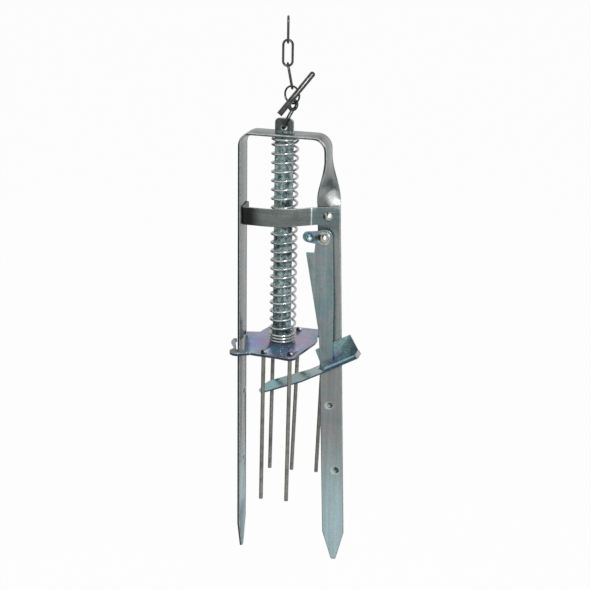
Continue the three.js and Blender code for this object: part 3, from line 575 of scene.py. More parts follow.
rivet_shank = 5 * mm
brace_head = 11.4 * mm
dome_height = 3.4 * mm
back_head = 9 * mm
back_head_height = 1.8 * mm
dome_skirt = 0.12
dome_rings = 9
dome_tip = 0.02
back_skirt = 0.6
back_narrowing = 0.76
turned_round = 0.25 * mm
shoulder_angle = math.radians(50)
hair = touch_gap / 9
leg_front = -strap_thickness / 2
leg_back = strap_thickness / 2 + touch_gap


def disc(radius, depth, y, vertices=56):
    """A round slug along Y whose front face is at y, left in edit mode."""
    deselect()
    bpy.ops.mesh.primitive_cylinder_add(vertices=vertices, radius=radius, depth=depth,
                                        location=(0, y + depth / 2, 0), rotation=(math.pi / 2, 0, 0))
    slug = bpy.context.object
    bpy.ops.object.transform_apply()
    edit(slug)
    return slug


def domed_rivet(name, head, front, back, flush=False):
    """A rivet along Y. The front face is drawn out in rings to a dome, the back end is upset."""
    slug = disc(rivet_shank / 2, back - front, front)
    slug.name = name
    if not flush:
        pick(slug, lambda c: c.y < front + hair, faces=True)
        bpy.ops.mesh.extrude_region_shrink_fatten(TRANSFORM_OT_shrink_fatten={"value": 0})
        bpy.ops.transform.resize(value=(head / rivet_shank,) * 3, center_override=(0, front, 0))
        push(0, -dome_height * dome_skirt, 0)
        for ring in range(dome_rings):
            low_angle = math.pi / 2 * ring / dome_rings
            high_angle = math.pi / 2 * (ring + 1) / dome_rings
            rise = dome_height * (1 - dome_skirt) * (math.sin(high_angle) - math.sin(low_angle))
            push(0, -rise, 0)
            narrowing = max(math.cos(high_angle), dome_tip) / math.cos(low_angle)
            bpy.ops.transform.resize(value=(narrowing, 1, narrowing), center_override=(0, 0, 0))
    pick(slug, lambda c: c.y > back - hair, faces=True)
    bpy.ops.mesh.extrude_region_shrink_fatten(TRANSFORM_OT_shrink_fatten={"value": 0})
    bpy.ops.transform.resize(value=(back_head / rivet_shank,) * 3, center_override=(0, back, 0))
    push(0, back_head_height * back_skirt, 0)
    push(0, back_head_height * (1 - back_skirt), 0)
    bpy.ops.transform.resize(value=(back_narrowing, 1, back_narrowing), center_override=(0, 0, 0))
    bpy.ops.mesh.select_all(action="SELECT")
    bpy.ops.mesh.normals_make_consistent(inside=False)
    leave_edit()
    soften(slug, turned_round, sharpest=shoulder_angle)
    smooth(slug)
    return slug


def rivet_coat(name, seat, patches):
    """Bright zinc on a turned or headed piece, dark on the side away from the light."""
    return coated(name, ("848886", "989b98", "a8a8a3", "929694"), streaks=even, cloud=120, rim=None,
                  roughness=(0.12, 0.2), bump=0.06, metallic=0.7, grime=0.85, grime_side=(-0.85, 0.3, -0.42),
                  grime_reach=0.6, seat=seat, patches=patches)


brace_rivet_place = right_leg_place @ Matrix.Translation((0, 0, -band_drop))
leg_face = leg_front / mm
# Painted shade on the left of the dome and a painted highlight at its upper right.
rivet_finish = rivet_coat("rivet_zinc", brace_rivet_place,
                          ((-4.4, leg_face - 3, 0.4, 2, 4.6, "22281f"),
                           (1.4, leg_face - 5, 1, 1, 2.4, "fbfcfb")))
band_front = leg_front - touch_gap * 2 - band_thickness
brace_rivet = domed_rivet("brace_rivet_headed", brace_head, band_front, leg_back)
settle(brace_rivet, brace_rivet_place, "frame", ["brace_rivet"], rivet_finish)

# Catch lever
# Sheared from 2.5 mm plate. Its neck hangs on a rivet and its left shoulder catches the edge of
# the spike plate when the trap is set. Rolling streaks run down it, and its arrises are bright.

lever_drop = 112.5 * mm
lever_side = -3.9 * mm
lever_thickness = 2.5 * mm
lever_length = 148 * mm
foot_rise = 2.2 * mm
foot_right = 7 * mm
lever_head_radius = 9 * mm
lever_right = 9.2 * mm
neck_left = 11 * mm
shoulder_left = 21.6 * mm
shoulder_drop = 18.2 * mm
calf_left = 8.8 * mm
calf_drop = 109.3 * mm
foot_left = 7.2 * mm
foot_radius = 1.2 * mm
head_radius = lever_head_radius * 0.85
neck_radius = 2 * mm
neck_slant = 1.25 * mm
shoulder_radius = 0.5 * mm
inner_radius = 0.6 * mm
side_radius = 30 * mm
worn_round = 0.8 * mm
overrun = 1 * mm
sheet_thickness = 1.6 * mm
pin_clearance = 0.35 * mm
flange_front = leg_front - touch_gap - sheet_thickness
lever_back = flange_front - touch_gap
lever_front = lever_back - lever_thickness
lever_place = right_leg_place @ Matrix.Translation((lever_side, 0, -lever_drop))


def blank(name, outline, front, back, coat):
    """A flat blank sheared to an outline in x and z, from its back to its front face."""
    deselect()
    bpy.ops.mesh.primitive_circle_add(vertices=len(outline), fill_type="NGON")
    piece = bpy.context.object
    piece.name = name
    for vertex, (x, z) in zip(piece.data.vertices, outline):
        vertex.co = (x, back, z)
    bpy.ops.object.mode_set(mode="EDIT")
    bpy.ops.mesh.select_all(action="SELECT")
    push(0, front - back, 0)
    bpy.ops.mesh.select_all(action="SELECT")
    bpy.ops.mesh.normals_make_consistent(inside=False)
    leave_edit()
    dress(piece, coat, lambda face: abs(face.normal.y) < squarely)
    return piece


def drill(piece, x, z, diameter, front, back):
    carve(piece, round_cutter(x, z, diameter, front - overrun, back + overrun))


lever_outline = rounded([
    (lever_head_radius, 0, head_radius),
    (lever_head_radius, lever_head_radius, head_radius),
    (-lever_head_radius, lever_head_radius, head_radius),
    (-lever_head_radius, 0, head_radius),
    (-neck_left, -shoulder_drop / 2, neck_radius),
    (-neck_left - neck_slant, -shoulder_drop, inner_radius),
    (-shoulder_left, -shoulder_drop, shoulder_radius),
    (-calf_left, -calf_drop, side_radius),
    (-foot_left, -lever_length, foot_radius),
    (foot_right, foot_rise - lever_length, foot_radius),
    (lever_right, -lever_length / 2, side_radius),
], closed=True)
lever_finish = coated("lever_zinc", ("6a7a7a", "748383", "7c8284", "6d8083"), cloud=30)
lever = blank("catch_lever_cut", lever_outline, lever_front, lever_back, lever_finish)
drill(lever, 0, 0, rivet_shank + 2 * pin_clearance, lever_front, lever_back)
lever.data.materials[sheared] = edge_coat("lever_edge", ("1c5560", "2a6a74", "24606a"))
# Bright arrises, with painted shade on those that face left.
lever.data.materials[arris] = edge_coat("lever_rim", ("58b0b4", "79c8ca", "66bcc0"), grime=0.85,
                                        grime_side=(-1, 0, 0), grime_reach=0.4)
soften(lever, worn_round, coat=arris)
smooth(lever)
settle(lever, lever_place, "catch_lever", ["catch_lever"])

# Safety latch
# Small drop-shaped tab of thin sheet, free to turn on the lever's rivet. A round dimple is
# pressed into its end.

latch_thickness = 1.6 * mm
latch_head_radius = 8.4 * mm
latch_end_radius = 6.2 * mm
latch_reach = 18.4 * mm
latch_dimple_reach = 16.6 * mm
latch_dimple = 7 * mm
latch_dimple_depth = 0.8 * mm
latch_droop = math.radians(-1.6)
latch_back = lever_front - touch_gap
latch_front = latch_back - latch_thickness
latch_steps = 20

slope = math.asin((latch_head_radius - latch_end_radius) / latch_reach)
latch_outline = []
for centre_x, radius, start_angle, end_angle in (
        (0, latch_head_radius, -math.pi / 2 - slope, math.pi / 2 + slope),
        (-latch_reach, latch_end_radius, math.pi / 2 + slope, math.pi * 3 / 2 - slope)):
    for step in range(latch_steps + 1):
        angle = start_angle + (end_angle - start_angle) * step / latch_steps
        latch_outline.append((centre_x + radius * math.cos(angle), radius * math.sin(angle)))
latch_place = lever_place @ Matrix.Rotation(-latch_droop, 4, "Y")
latch_face = latch_front / mm
# Painted shade round the dimple with two painted highlights in it, and a darker spot mid-way along the
# latch.
latch_finish = coated("latch_zinc", ("56747c", "6d8c92", "73778c", "5f8b92"), streaks=even, cloud=60,
                      seat=latch_place, patches=((-16.6, latch_face, 0, 3, 6.5, "24505c"),
                                                 (-16.4, latch_face, -1.6, 0.8, 3, "def2f2"),
                                                 (-17, latch_face, 1.4, 0.4, 2.2, "c4e6e8"),
                                                 (-8.5, latch_face, 0, 1, 4.5, "2c3142")))
latch = blank("safety_latch_cut", latch_outline, latch_front, latch_back, latch_finish)
drill(latch, 0, 0, rivet_shank + 2 * pin_clearance, latch_front, latch_back)
carve(latch, round_cutter(-latch_dimple_reach, 0, latch_dimple, latch_front - overrun,
                          latch_front + latch_dimple_depth))
soften(latch, sheet_round, coat=arris)
smooth(latch)
latch.data.materials[sheared] = edge_coat("latch_edge", ("2c3638", "3b4648", "334042"))
settle(latch, latch_place, "safety_latch", ["safety_latch"])

# Lever rivet, washer and spacer
# The rivet holds latch and lever to the leg, with a washer under its dome and a spacer behind
# the lever that keeps it clear of the trigger's flange.

washer_diameter = 15 * mm
washer_thickness = 1 * mm
washer_round = 0.2 * mm
lever_head = 10.4 * mm
washer_back = latch_front - touch_gap
washer_front = washer_back - washer_thickness


def ring_washer(name, front, back):
    slug = disc(washer_diameter / 2, back - front, front)
    leave_edit()
    slug.name = name
    drill(slug, 0, 0, rivet_shank + 2 * pin_clearance, front, back)
    soften(slug, washer_round)
    smooth(slug)
    return slug


washer_face = washer_front / mm
# Painted shade on the left of the dome, painted highlights at its upper right and below it, and one on the
# washer.
lever_rivet_finish = rivet_coat("lever_rivet_zinc", lever_place,
                                ((-5, washer_face - 1, 1, 2.5, 5, "22281f"),
                                 (2, washer_face - 2, -6.4, 1, 4, "e6eae6"),
                                 (1.6, washer_face - 3, 1.6, 1, 2.6, "fbfcfb"),
                                 (6.6, washer_face, 4.2, 0.6, 2.6, "f0f4f2")))
spacer = ring_washer("lever_spacer_turned", flange_front, leg_front - touch_gap)
settle(spacer, lever_place, "frame", ["lever_spacer"], rivet_finish)
washer = ring_washer("lever_washer_turned", washer_front, washer_back)
settle(washer, lever_place, "frame", ["lever_washer"], lever_rivet_finish)
lever_rivet = domed_rivet("lever_rivet_headed", lever_head, washer_front - touch_gap, leg_back)
settle(lever_rivet, lever_place, "frame", ["lever_rivet"], lever_rivet_finish)

# Trigger
# One folded sheet: a flange against the leg, a shelf bent out to the front with a stop tab at its
# right end, and a wide tongue that passes the leg and is bent again at a crease.

trigger_side = -2 * mm
lever_overlap = 15.9 * mm
trigger_tilt = math.radians(30)
flange_above = 5.5 * mm
flange_below = 17.9 * mm
flange_left = 14.5 * mm
flange_right = 31.5 * mm
flange_rake = 3 * mm
shelf_depth = 15 * mm
tongue_width = 36 * mm
tongue_start = 24.5 * mm
tongue_crease = 42 * mm
tongue_length = 58 * mm
crease_angle = math.radians(7)
tongue_tip = 15 * mm
tongue_taper = 6 * mm
tab_height = 4.5 * mm
tab_taper = 1 * mm
flange_round = 0.8 * mm
shelf_round = 0.5 * mm
root_round = 1.5 * mm
tongue_shoulder = 1 * mm
tongue_round = 2 * mm
crease_step = 1.5 * mm
crease_reach = touch_gap / 3
on_fold = 3
on_tab = 4

trigger_drop = lever_drop + lever_length - lever_overlap
trigger_pivot = right_leg_place @ Matrix.Translation((trigger_side, 0, -trigger_drop))
trigger_place = trigger_pivot @ Matrix.Rotation(right_splay - trigger_tilt, 4, "Y")
shelf_top = -flange_below
shelf_foot = shelf_top - sheet_thickness
shelf_front = flange_front - shelf_depth
flange_back = leg_front - touch_gap
tongue_end = -tongue_crease - tongue_length

flange_face = flange_front / mm
shelf_level = shelf_top / mm
trigger_finish = coated("trigger_zinc", ("668683", "6f8f8e", "778e95", "708c94", "698985"),
                        streaks=(0.1, 1, 0.1), cloud=60, rolling=0.2, mottling=0.3, seat=trigger_place,
                        patches=((-2, flange_face, -9, 4, 15, "636a8c"),
                                 (-60, 0, shelf_level, 14, 34, "5c8485"),
                                 (-90, 0, shelf_level, 10, 26, "47979b")))
flange_foot = shelf_foot + sheet_thickness / 2
trigger = blank("trigger_pan_folded", rounded([
    (-flange_left, flange_above, flange_round),
    (-flange_left - flange_rake, flange_foot, 0),
    (flange_right, flange_foot, 0),
    (flange_right, flange_above, flange_round),
], closed=True), flange_front, flange_back, trigger_finish)
flat_outline = rounded([
    (flange_right, shelf_front, shelf_round),
    (flange_right, flange_back, shelf_round),
    (-tongue_start, flange_back, root_round),
    (-tongue_start, tongue_width / 2, tongue_shoulder),
    (tongue_end + tongue_taper, tongue_width / 2, tongue_round),
    (tongue_end, tongue_tip / 2, tongue_round),
    (tongue_end, -tongue_tip / 2, tongue_round),
    (tongue_end + tongue_taper, -tongue_width / 2, tongue_round),
    (-tongue_start, -tongue_width / 2, tongue_shoulder),
    (-tongue_start, shelf_front, shelf_round),
], closed=True)
shelf = blank("trigger_shelf", [(x, -y) for x, y in flat_outline], 0, sheet_thickness, trigger_finish)
shelf.matrix_world = Matrix.Translation((0, 0, shelf_foot)) @ Matrix.Rotation(math.pi / 2, 4, "X")
bpy.ops.object.transform_apply()
edit(shelf)
crease_marks = (-tongue_crease + crease_step, -tongue_crease, -tongue_crease - crease_step)
for mark in crease_marks + (-flange_left,):
    bpy.ops.mesh.select_all(action="SELECT")
    bpy.ops.mesh.bisect(plane_co=(mark, 0, 0), plane_no=(1, 0, 0))
for mark in crease_marks:
    pick(shelf, lambda co: co.x < mark + crease_reach)
    turn(crease_angle / len(crease_marks), "Y", (mark, 0, shelf_foot))
leave_edit()
carve(trigger, shelf, "UNION")
tab = blank("trigger_tab", rounded([
    (shelf_front, shelf_foot, 0),
    (flange_front, shelf_foot, 0),
    (flange_front - tab_taper, shelf_top + tab_height, tongue_round),
    (shelf_front + tab_taper, shelf_top + tab_height, tongue_round),
], closed=True), -flange_right - sheet_thickness + touch_gap, -flange_right + touch_gap, trigger_finish)
tab.matrix_world = Matrix.Rotation(math.pi / 2, 4, "Z")
bpy.ops.object.transform_apply()
carve(trigger, tab, "UNION")
drill(trigger, 0, 0, rivet_shank + 2 * pin_clearance, flange_front, flange_back)
trigger.data.materials[sheared] = edge_coat("trigger_edge", ("24404f", "2f5262", "294a58"))
# The shelf's top by the fold is painted bright as a highlight, with painted shade towards its front.
fold_shade = ("Y", flange_face - 6.5, flange_face - 8.5, "3a7090")
trigger.data.materials.append(coated("fold_highlight_and_shade", ("c6ecea", "e2fbf9", "d2f2f0"), streaks=(0.1, 1, 1),
                                     cloud=60, metallic=0.2, rim=None, fades=(fold_shade,)))
trigger.data.materials.append(coated("tab_zinc", ("8f8b8d", "a6a3a4", "9b9798"), streaks=even, cloud=90))
for face in trigger.data.polygons:
    on_shelf = face.normal.z > squarely and abs(face.center.z - shelf_top) < touch_gap
    if face.center.x > flange_right:
        face.material_index = on_tab
    elif on_shelf and face.center.x > -flange_left:
        face.material_index = on_fold
soften(trigger, sheet_round, coat=arris)
smooth(trigger)
settle(trigger, trigger_place, "trigger", ["trigger_pan"])

trigger_rivet = domed_rivet("trigger_rivet_headed", rivet_shank, flange_front, leg_back, flush=True)
settle(trigger_rivet, trigger_pivot, "frame", ["trigger_rivet"], rivet_finish)

# Plunger bar
# Flat bar that slides through the top of the frame. Its top corners are ground round, it has one
# hole for the eye, and its shouldered foot is let into the spike plate.

bar_width = bar_high.x - bar_low.x
bar_thickness = bar_high.y - bar_low.y
bar_rise = bar_high.z - top_face
bar_foot = bar_low.z - top_face
bar_corner = 5 * mm
eye_hole = 6.6 * mm
eye_hole_height = 6.2 * mm
plate_drop = 242.5 * mm
tenon_half = bar_width / 2 - bar_thickness
bar_shoulder = touch_gap - plate_drop
bar_round = 0.5 * mm

bar_outline = rounded([
    (-tenon_half, bar_foot, 0),
    (tenon_half, bar_foot, 0),
    (tenon_half, bar_shoulder, 0),
    (bar_width / 2, bar_shoulder, 0),
    (bar_width / 2, bar_rise, bar_corner),
    (-bar_width / 2, bar_rise, bar_corner),
    (-bar_width / 2, bar_shoulder, 0),
    (-tenon_half, bar_shoulder, 0),
], closed=True)
bar_finish = coated("bar_zinc", ("2e4547", "5e7678", "94a4a4", "405a5e"), streaks=(1, 1, 0.06), cloud=140,
                    rolling=0.4, mottling=0.3, fades=(("Z", 0, 3, "474f4d"),))
bar = blank("plunger_bar_cut", bar_outline, -bar_thickness / 2, bar_thickness / 2, bar_finish)
drill(bar, 0, eye_hole_height, eye_hole, -bar_thickness / 2, bar_thickness / 2)
soften(bar, bar_round, coat=arris)
smooth(bar)
settle(bar, trap_place, "plunger", ["plunger_bar"])

# Spike plate
# Blanked from 3 mm sheet, flat and glossy. Its zinc coat shows the most colour: lavender and blue
# with pink and teal patches. A notch and a finger keep it on the left leg.

plate_thickness = 3 * mm
plate_turn = math.radians(5.8)
row_half = 78.7 * mm / 2
spike_pitch = 29.9 * mm
row_offset = 13.4 * mm
lug_radius = 8.95 * mm
leg_clearance = 1.6 * mm
finger_width = 4.5 * mm
finger_reach = 6 * mm
front_lug_arc = (140, 300)
front_corner_arc = (255, 375)
rear_lug_arc = (-50, 110)
front_edge = [(-28.4 * mm, -42.1 * mm), (-21.2 * mm, -43.4 * mm), (0.9 * mm, -46.8 * mm)]
front_corner = (15.8 * mm, -42.6 * mm)
front_corner_radius = 8 * mm
right_edge = [(30.4 * mm, -20.5 * mm), (38.2 * mm, 4 * mm), (39.2 * mm, 14.2 * mm), (37.6 * mm, 27 * mm)]
rear_edge = [(33 * mm, 46.6 * mm), (13.3 * mm, 48.1 * mm), (-16.8 * mm, 48.1 * mm),
             (-22.1 * mm, 45.6 * mm), (-30 * mm, 24.5 * mm)]
waist = (-49.5 * mm, -26.1 * mm)
notch_front = -39 * mm
notch_front_left = -41.9 * mm
notch_front_right = -32.6 * mm
notch_bend = 2 * mm
notch_round = 0.5 * mm
notch_corner = 0.2 * mm
notch_mouth = 0.4 * mm
finger_round = 1 * mm
spike_diameter = 4.6 * mm

front_row = [(step * spike_pitch - row_offset, -row_half) for step in (-1, 0, 1)]
rear_row = [(step * spike_pitch + row_offset, row_half) for step in (-1, 0, 1)]


def edge_arc(centre, radius, start_angle, end_angle, steps=14):
    """Points of an arc seen from above, between two angles in degrees."""
    angles = [math.radians(start_angle + (end_angle - start_angle) * i / steps) for i in range(steps + 1)]
    return [(centre[0] + radius * math.cos(a), centre[1] + radius * math.sin(a)) for a in angles]


notch_foot = -frame_width / 2 + strap_thickness + leg_clearance
notch_edge = strap_width / 2 + leg_clearance
finger_inner = -frame_width / 2 - leg_clearance
finger_outer = finger_inner - finger_width
finger_tip = finger_reach - strap_width / 2
finger_nose = finger_width * 0.48
notch = rounded([
    (notch_foot - strap_thickness, notch_edge + strap_thickness, 0),
    (notch_foot - strap_thickness / 2, notch_edge, notch_mouth),
    (notch_foot, notch_edge, notch_corner),
    (notch_foot, notch_bend, notch_round),
    (notch_front_right, notch_front, notch_round),
    (notch_front_left, notch_front, notch_round),
    (finger_inner, -notch_edge, notch_round),
    (finger_inner, finger_tip, finger_nose),
    (finger_outer, finger_tip, finger_nose),
    (finger_outer, -notch_edge - finger_width / 2, finger_round),
    (finger_outer + finger_width / 2, -notch_edge - finger_width * 1.5, 0),
])
to_grid = Matrix.Rotation(-plate_turn, 2)
plate_outline = (edge_arc(front_row[0], lug_radius, *front_lug_arc) + front_edge
                 + edge_arc(front_corner, front_corner_radius, *front_corner_arc) + right_edge
                 + edge_arc(rear_row[2], lug_radius, *rear_lug_arc) + rear_edge
                 + [tuple(to_grid @ point) for point in notch] + [waist])
plate_seat = trap_place @ Matrix.Translation((0, 0, -plate_drop))
# The last two patches are painted shade on the front lug and on the finger beside the left leg.
plate_finish = coated("plate_zinc", ("6f7da2", "7f7da1", "857e93", "748599", "698794", "897b9a"),
                      streaks=even, cloud=40, rolling=0.05, roughness=(0.2, 0.34), seat=plate_seat,
                      patches=((-29, -9, 0, 8, 24, "747fab"), (-17, -5, 0, 3, 17, "857494"),
                               (4, -25, 0, 3, 21, "6b8bab"), (20, 7, 0, 5, 18, "94839a"),
                               (-35.5, -11, 0, 2, 8, "7890a4"), (-42, -44, 0, 4, 9, "555e58"),
                               (-53, -8, 0, 3, 9, "3c4444")))
plate = blank("spike_plate_cut", plate_outline, 0, plate_thickness, plate_finish)
hole_size = spike_diameter + 2 * touch_gap
for x, y in front_row + rear_row:
    drill(plate, x, y, hole_size, 0, plate_thickness)
plate.matrix_world = Matrix.Rotation(-math.pi / 2, 4, "X")
bpy.ops.object.transform_apply()
plate.data.materials[sheared] = edge_coat("plate_edge", ("26323a", "33424a", "2c3a42"))
# Light arrises, with painted shade on those that face down.
plate.data.materials[arris] = edge_coat("plate_rim", ("9fb0b8", "b9c6cc", "abb9c0"), grime=0.9,
                                        grime_side=(0, 0, -1), grime_reach=0.5)
soften(plate, worn_round, coat=arris)
smooth(plate)
plate_place = plate_seat @ Matrix.Rotation(plate_turn, 4, "Z")
settle(plate, plate_place, "plunger", ["spike_plate"])

# Spikes
# Five lengths of round rod, their feet cut off at a slant and their tops upset to small heads on
# the plate. The rod is bare steel, duller and a little warmer in tone than the plated pieces.

spike_reach = 182.4 * mm
spike_head = 6.4 * mm
spike_head_height = 3 * mm
spike_slant = 5 * mm
head_skirt = 0.55
head_narrowing = 0.6
spike_round = 0.3 * mm
head_shoulder = math.radians(40)
spike_leans = [math.radians(lean) for lean in (0.55, 0.6, 0.95, 1.9, 1.8)]

deselect()
bpy.ops.mesh.primitive_cylinder_add(vertices=40, radius=spike_diameter / 2, depth=spike_reach + touch_gap,
                                    location=(0, 0, (touch_gap - spike_reach) / 2))
rod = bpy.context.object
bpy.ops.object.transform_apply()
edit(rod)
bpy.ops.mesh.select_all(action="SELECT")
bpy.ops.mesh.bisect(plane_co=(0, 0, spike_slant / 2 - spike_reach),
                    plane_no=(-spike_slant, 0, spike_diameter), use_fill=True, clear_inner=True)
pick(rod, lambda c: c.z > touch_gap - hair, faces=True)
bpy.ops.mesh.extrude_region_shrink_fatten(TRANSFORM_OT_shrink_fatten={"value": 0})
bpy.ops.transform.resize(value=(spike_head / spike_diameter,) * 3, center_override=(0, 0, touch_gap))
push(0, 0, spike_head_height * head_skirt)
push(0, 0, spike_head_height * (1 - head_skirt))
bpy.ops.transform.resize(value=(head_narrowing, head_narrowing, 1), center_override=(0, 0, 0))
bpy.ops.mesh.select_all(action="SELECT")
bpy.ops.mesh.normals_make_consistent(inside=False)
leave_edit()
soften(rod, spike_round, sharpest=head_shoulder)
smooth(rod)
# Painted shade on the left side of each spike and on its head, and a painted highlight on each head.
spike_finish = coated("spike_steel", ("656561", "767673", "82817c", "6d6d69"), streaks=(1, 1, 0.05),
                      cloud=60, roughness=(0.2, 0.34), grime=0.75, grime_side=(-1, 0, 0), grime_reach=0.75,
                      rim=None, seat=plate_place, fades=(("Z", -0.8, 0.6, "23282b"),),
                      patches=[(x / mm + 1.8, y / mm - 1, 1.6, 1.2, 2.2, "f2f5f5")
                               for x, y in front_row + rear_row])
spike_places = front_row[1:] + rear_row
for number, (x, y) in enumerate(spike_places, start=1):
    spike = rod
    if number < len(spike_places):
        spike = rod.copy()
        spike.data = rod.data.copy()
        bpy.context.scene.collection.objects.link(spike)
    spike.name = f"spike_{number}_headed"
    hole = plate_place @ Vector((x, y, 0))
    settle(spike, Matrix.Translation(hole) @ Matrix.Rotation(spike_leans[number - 1], 4, "Y"),
           "plunger", [f"spike_{number}"], spike_finish)

# Spring
# Bright round spring wire, coiled right-handed round the plunger bar, with three closed turns at
# its foot on the plate and one under the top of the frame.

spring_wire = 2.8 * mm
spring_outer = 30.7 * mm
spring_shift = 1.1 * mm
spring_pitch = 9.9 * mm
closed_pitch = 3.5 * mm
closed_below = 3
closed_above = 1
curl_steps = 40
weld_gap = 0.001 * mm


def bent_wire(name, points, diameter, closed=False, sides=4):
    """Round wire bent along a line of points."""
    deselect()
    bpy.ops.curve.primitive_nurbs_path_add()
    wire = bpy.context.object
    wire.name = name
    wire.data.splines.clear()
    line = wire.data.splines.new("POLY")
    line.points.add(len(points) - 1)
    for point, spot in zip(line.points, points):
        point.co = (*spot, 1)
    line.use_cyclic_u = closed
    wire.data.twist_mode = "MINIMUM"
    wire.data.bevel_depth = diameter / 2
    wire.data.bevel_resolution = sides
    wire.data.use_fill_caps = not closed
    bpy.ops.object.convert(target="MESH")
    edit(wire)
    bpy.ops.mesh.select_all(action="SELECT")
    bpy.ops.mesh.remove_doubles(threshold=weld_gap)
    bpy.ops.mesh.normals_make_consistent(inside=False)
    leave_edit()
    smooth(wire)
    return wire


spring_low = -plate_drop + touch_gap + spring_wire / 2
spring_high = -strap_thickness - touch_gap - spring_wire / 2
open_height = spring_high - spring_low - closed_pitch * (closed_below + closed_above)
open_turns = round(open_height / spring_pitch)
spring_turns = closed_below + open_turns + closed_above
spring_radius = (spring_outer - spring_wire) / 2
spring_points = []
for step in range(spring_turns * curl_steps + 1):
    turns = step / curl_steps
    below = min(turns, closed_below) * closed_pitch
    between = min(max(turns - closed_below, 0), open_turns) * open_height / open_turns
    above = max(turns - closed_below - open_turns, 0) * closed_pitch
    angle = 2 * math.pi * turns
    spring_points.append(Vector((spring_shift + spring_radius * math.cos(angle),
                                 spring_radius * math.sin(angle), spring_low + below + between + above)))
run_out = Vector((0, spring_wire, 0))
spring_points = [spring_points[0] - run_out] + spring_points + [spring_points[-1] + run_out]
spring = bent_wire("plunger_spring_coiled", spring_points, spring_wire, sides=3)
# Painted shade on the sides of the turns that face down and to the left.
spring_finish = coated("spring_wire", ("8a8f8f", "a2a7a6", "b2b5b2", "979c9c"), streaks=even, cloud=40,
                       roughness=(0.12, 0.2), bump=0.05, metallic=0.7, grime=0.9,
                       grime_side=(-0.62, 0.2, -0.76), grime_reach=0.4, rim=None)
settle(spring, trap_place, "plunger", ["plunger_spring"], spring_finish)
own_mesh(spring)

# Plunger eye
# One wire: a closed ring above, then a shank that crosses to the front of the bar, goes through
# its hole and is turned up behind it.

link_wire = 2.6 * mm
link_length = 30 * mm
link_width = 12.6 * mm
chain_turn = math.radians(15)
chain_side = 2.6 * mm
third_tilt = math.radians(11.4)
ring_top = 50.9 * mm
ring_outer = 21 * mm
ring_wire = 2.2 * mm
ring_turn = math.radians(-20)
eye_wire = 4.2 * mm
eye_outer = 14 * mm
eye_turn = math.radians(52)
eye_side = 1 * mm
eye_tip_rise = 9 * mm
wire_steps = 48

link_bend = link_length - link_wire
ring_radius = (ring_outer - ring_wire) / 2
third_foot = Vector((chain_side + link_bend * math.sin(third_tilt), 0,
                     ring_top - (link_wire + ring_wire) / 2 - touch_gap))
ring_centre = Vector((third_foot.x, 0, ring_top - ring_radius))
eye_radius = (eye_outer - eye_wire) / 2
eye_stack = (ring_wire + eye_wire) / 2 + touch_gap
eye_centre = Vector((ring_centre.x + eye_side, 0, ring_centre.z - ring_radius + eye_stack - eye_radius))


def hoop(centre, radius, heading, steps=wire_steps):
    """Points of an upright hoop."""
    across = Vector((math.cos(heading), math.sin(heading), 0))
    angles = [2 * math.pi * i / steps for i in range(steps)]
    return [centre + across * radius * math.cos(a) + Vector((0, 0, radius * math.sin(a))) for a in angles]


def flowing(corners, steps=10):
    """A smooth line through the given points."""
    line = []
    padded = [corners[0] * 2 - corners[1]] + corners + [corners[-1] * 2 - corners[-2]]
    for a, b, c, d in zip(padded, padded[1:], padded[2:], padded[3:]):
        for i in range(steps):
            t = i / steps
            line.append(0.5 * (2 * b + (c - a) * t + (2 * a - 5 * b + 4 * c - d) * t ** 2
                               + (3 * b - a - 3 * c + d) * t ** 3))
    return line + [corners[-1]]


clear = bar_thickness / 2 + touch_gap + eye_wire / 2
eye = bent_wire("plunger_eye_bent", hoop(eye_centre, eye_radius, eye_turn), eye_wire, closed=True)
shank = bent_wire("eye_shank", flowing([
    eye_centre - Vector((0, 0, eye_radius)),
    Vector((eye_centre.x / 2, -clear * 1.1, eye_hole_height + eye_wire * 2.4)),
    Vector((eye_wire / 4, -clear * 1.15, eye_hole_height + eye_wire * 0.75)),
    Vector((0, -clear * 0.75, eye_hole_height)),
    Vector((0, 0, eye_hole_height - touch_gap)),
    Vector((0, clear * 0.75, eye_hole_height)),
    Vector((-eye_wire / 8, clear * 1.15, eye_hole_height + eye_wire * 0.75)),
    Vector((-eye_wire / 4, clear * 1.25, eye_hole_height + eye_tip_rise)),
]), eye_wire)
carve(eye, shank, "UNION")
smooth(eye)
# Painted shade on the sides that face down and to the left.
chain_finish = coated("chain_zinc", ("2f3231", "3f4241", "4c4e4a", "3a3c3b"), streaks=even, cloud=90,
                      roughness=(0.14, 0.24), metallic=0.7, grime=0.75, grime_side=(-0.62, 0, -0.78),
                      grime_reach=0.6, rim=None)
settle(eye, trap_place, "plunger_eye", ["plunger_eye"], chain_finish)

# Pull ring and toggle bar
# A small ring joins chain and eye. A round bar hangs on it by a cross hole, cut square at one end
# and rounded at the other.

toggle_diameter = 6.2 * mm
toggle_foot = 32 * mm
toggle_head = 26 * mm
toggle_hole = 4.5 * mm
toggle_on_ring = math.radians(31)
toggle_rise = math.radians(54)
toggle_lean = math.radians(22.5)
toggle_crown = toggle_diameter * 0.42

ring = bent_wire("pull_ring_bent", hoop(ring_centre, ring_radius, ring_turn), ring_wire, closed=True)
settle(ring, trap_place, "pull_ring", ["pull_ring"], chain_finish)

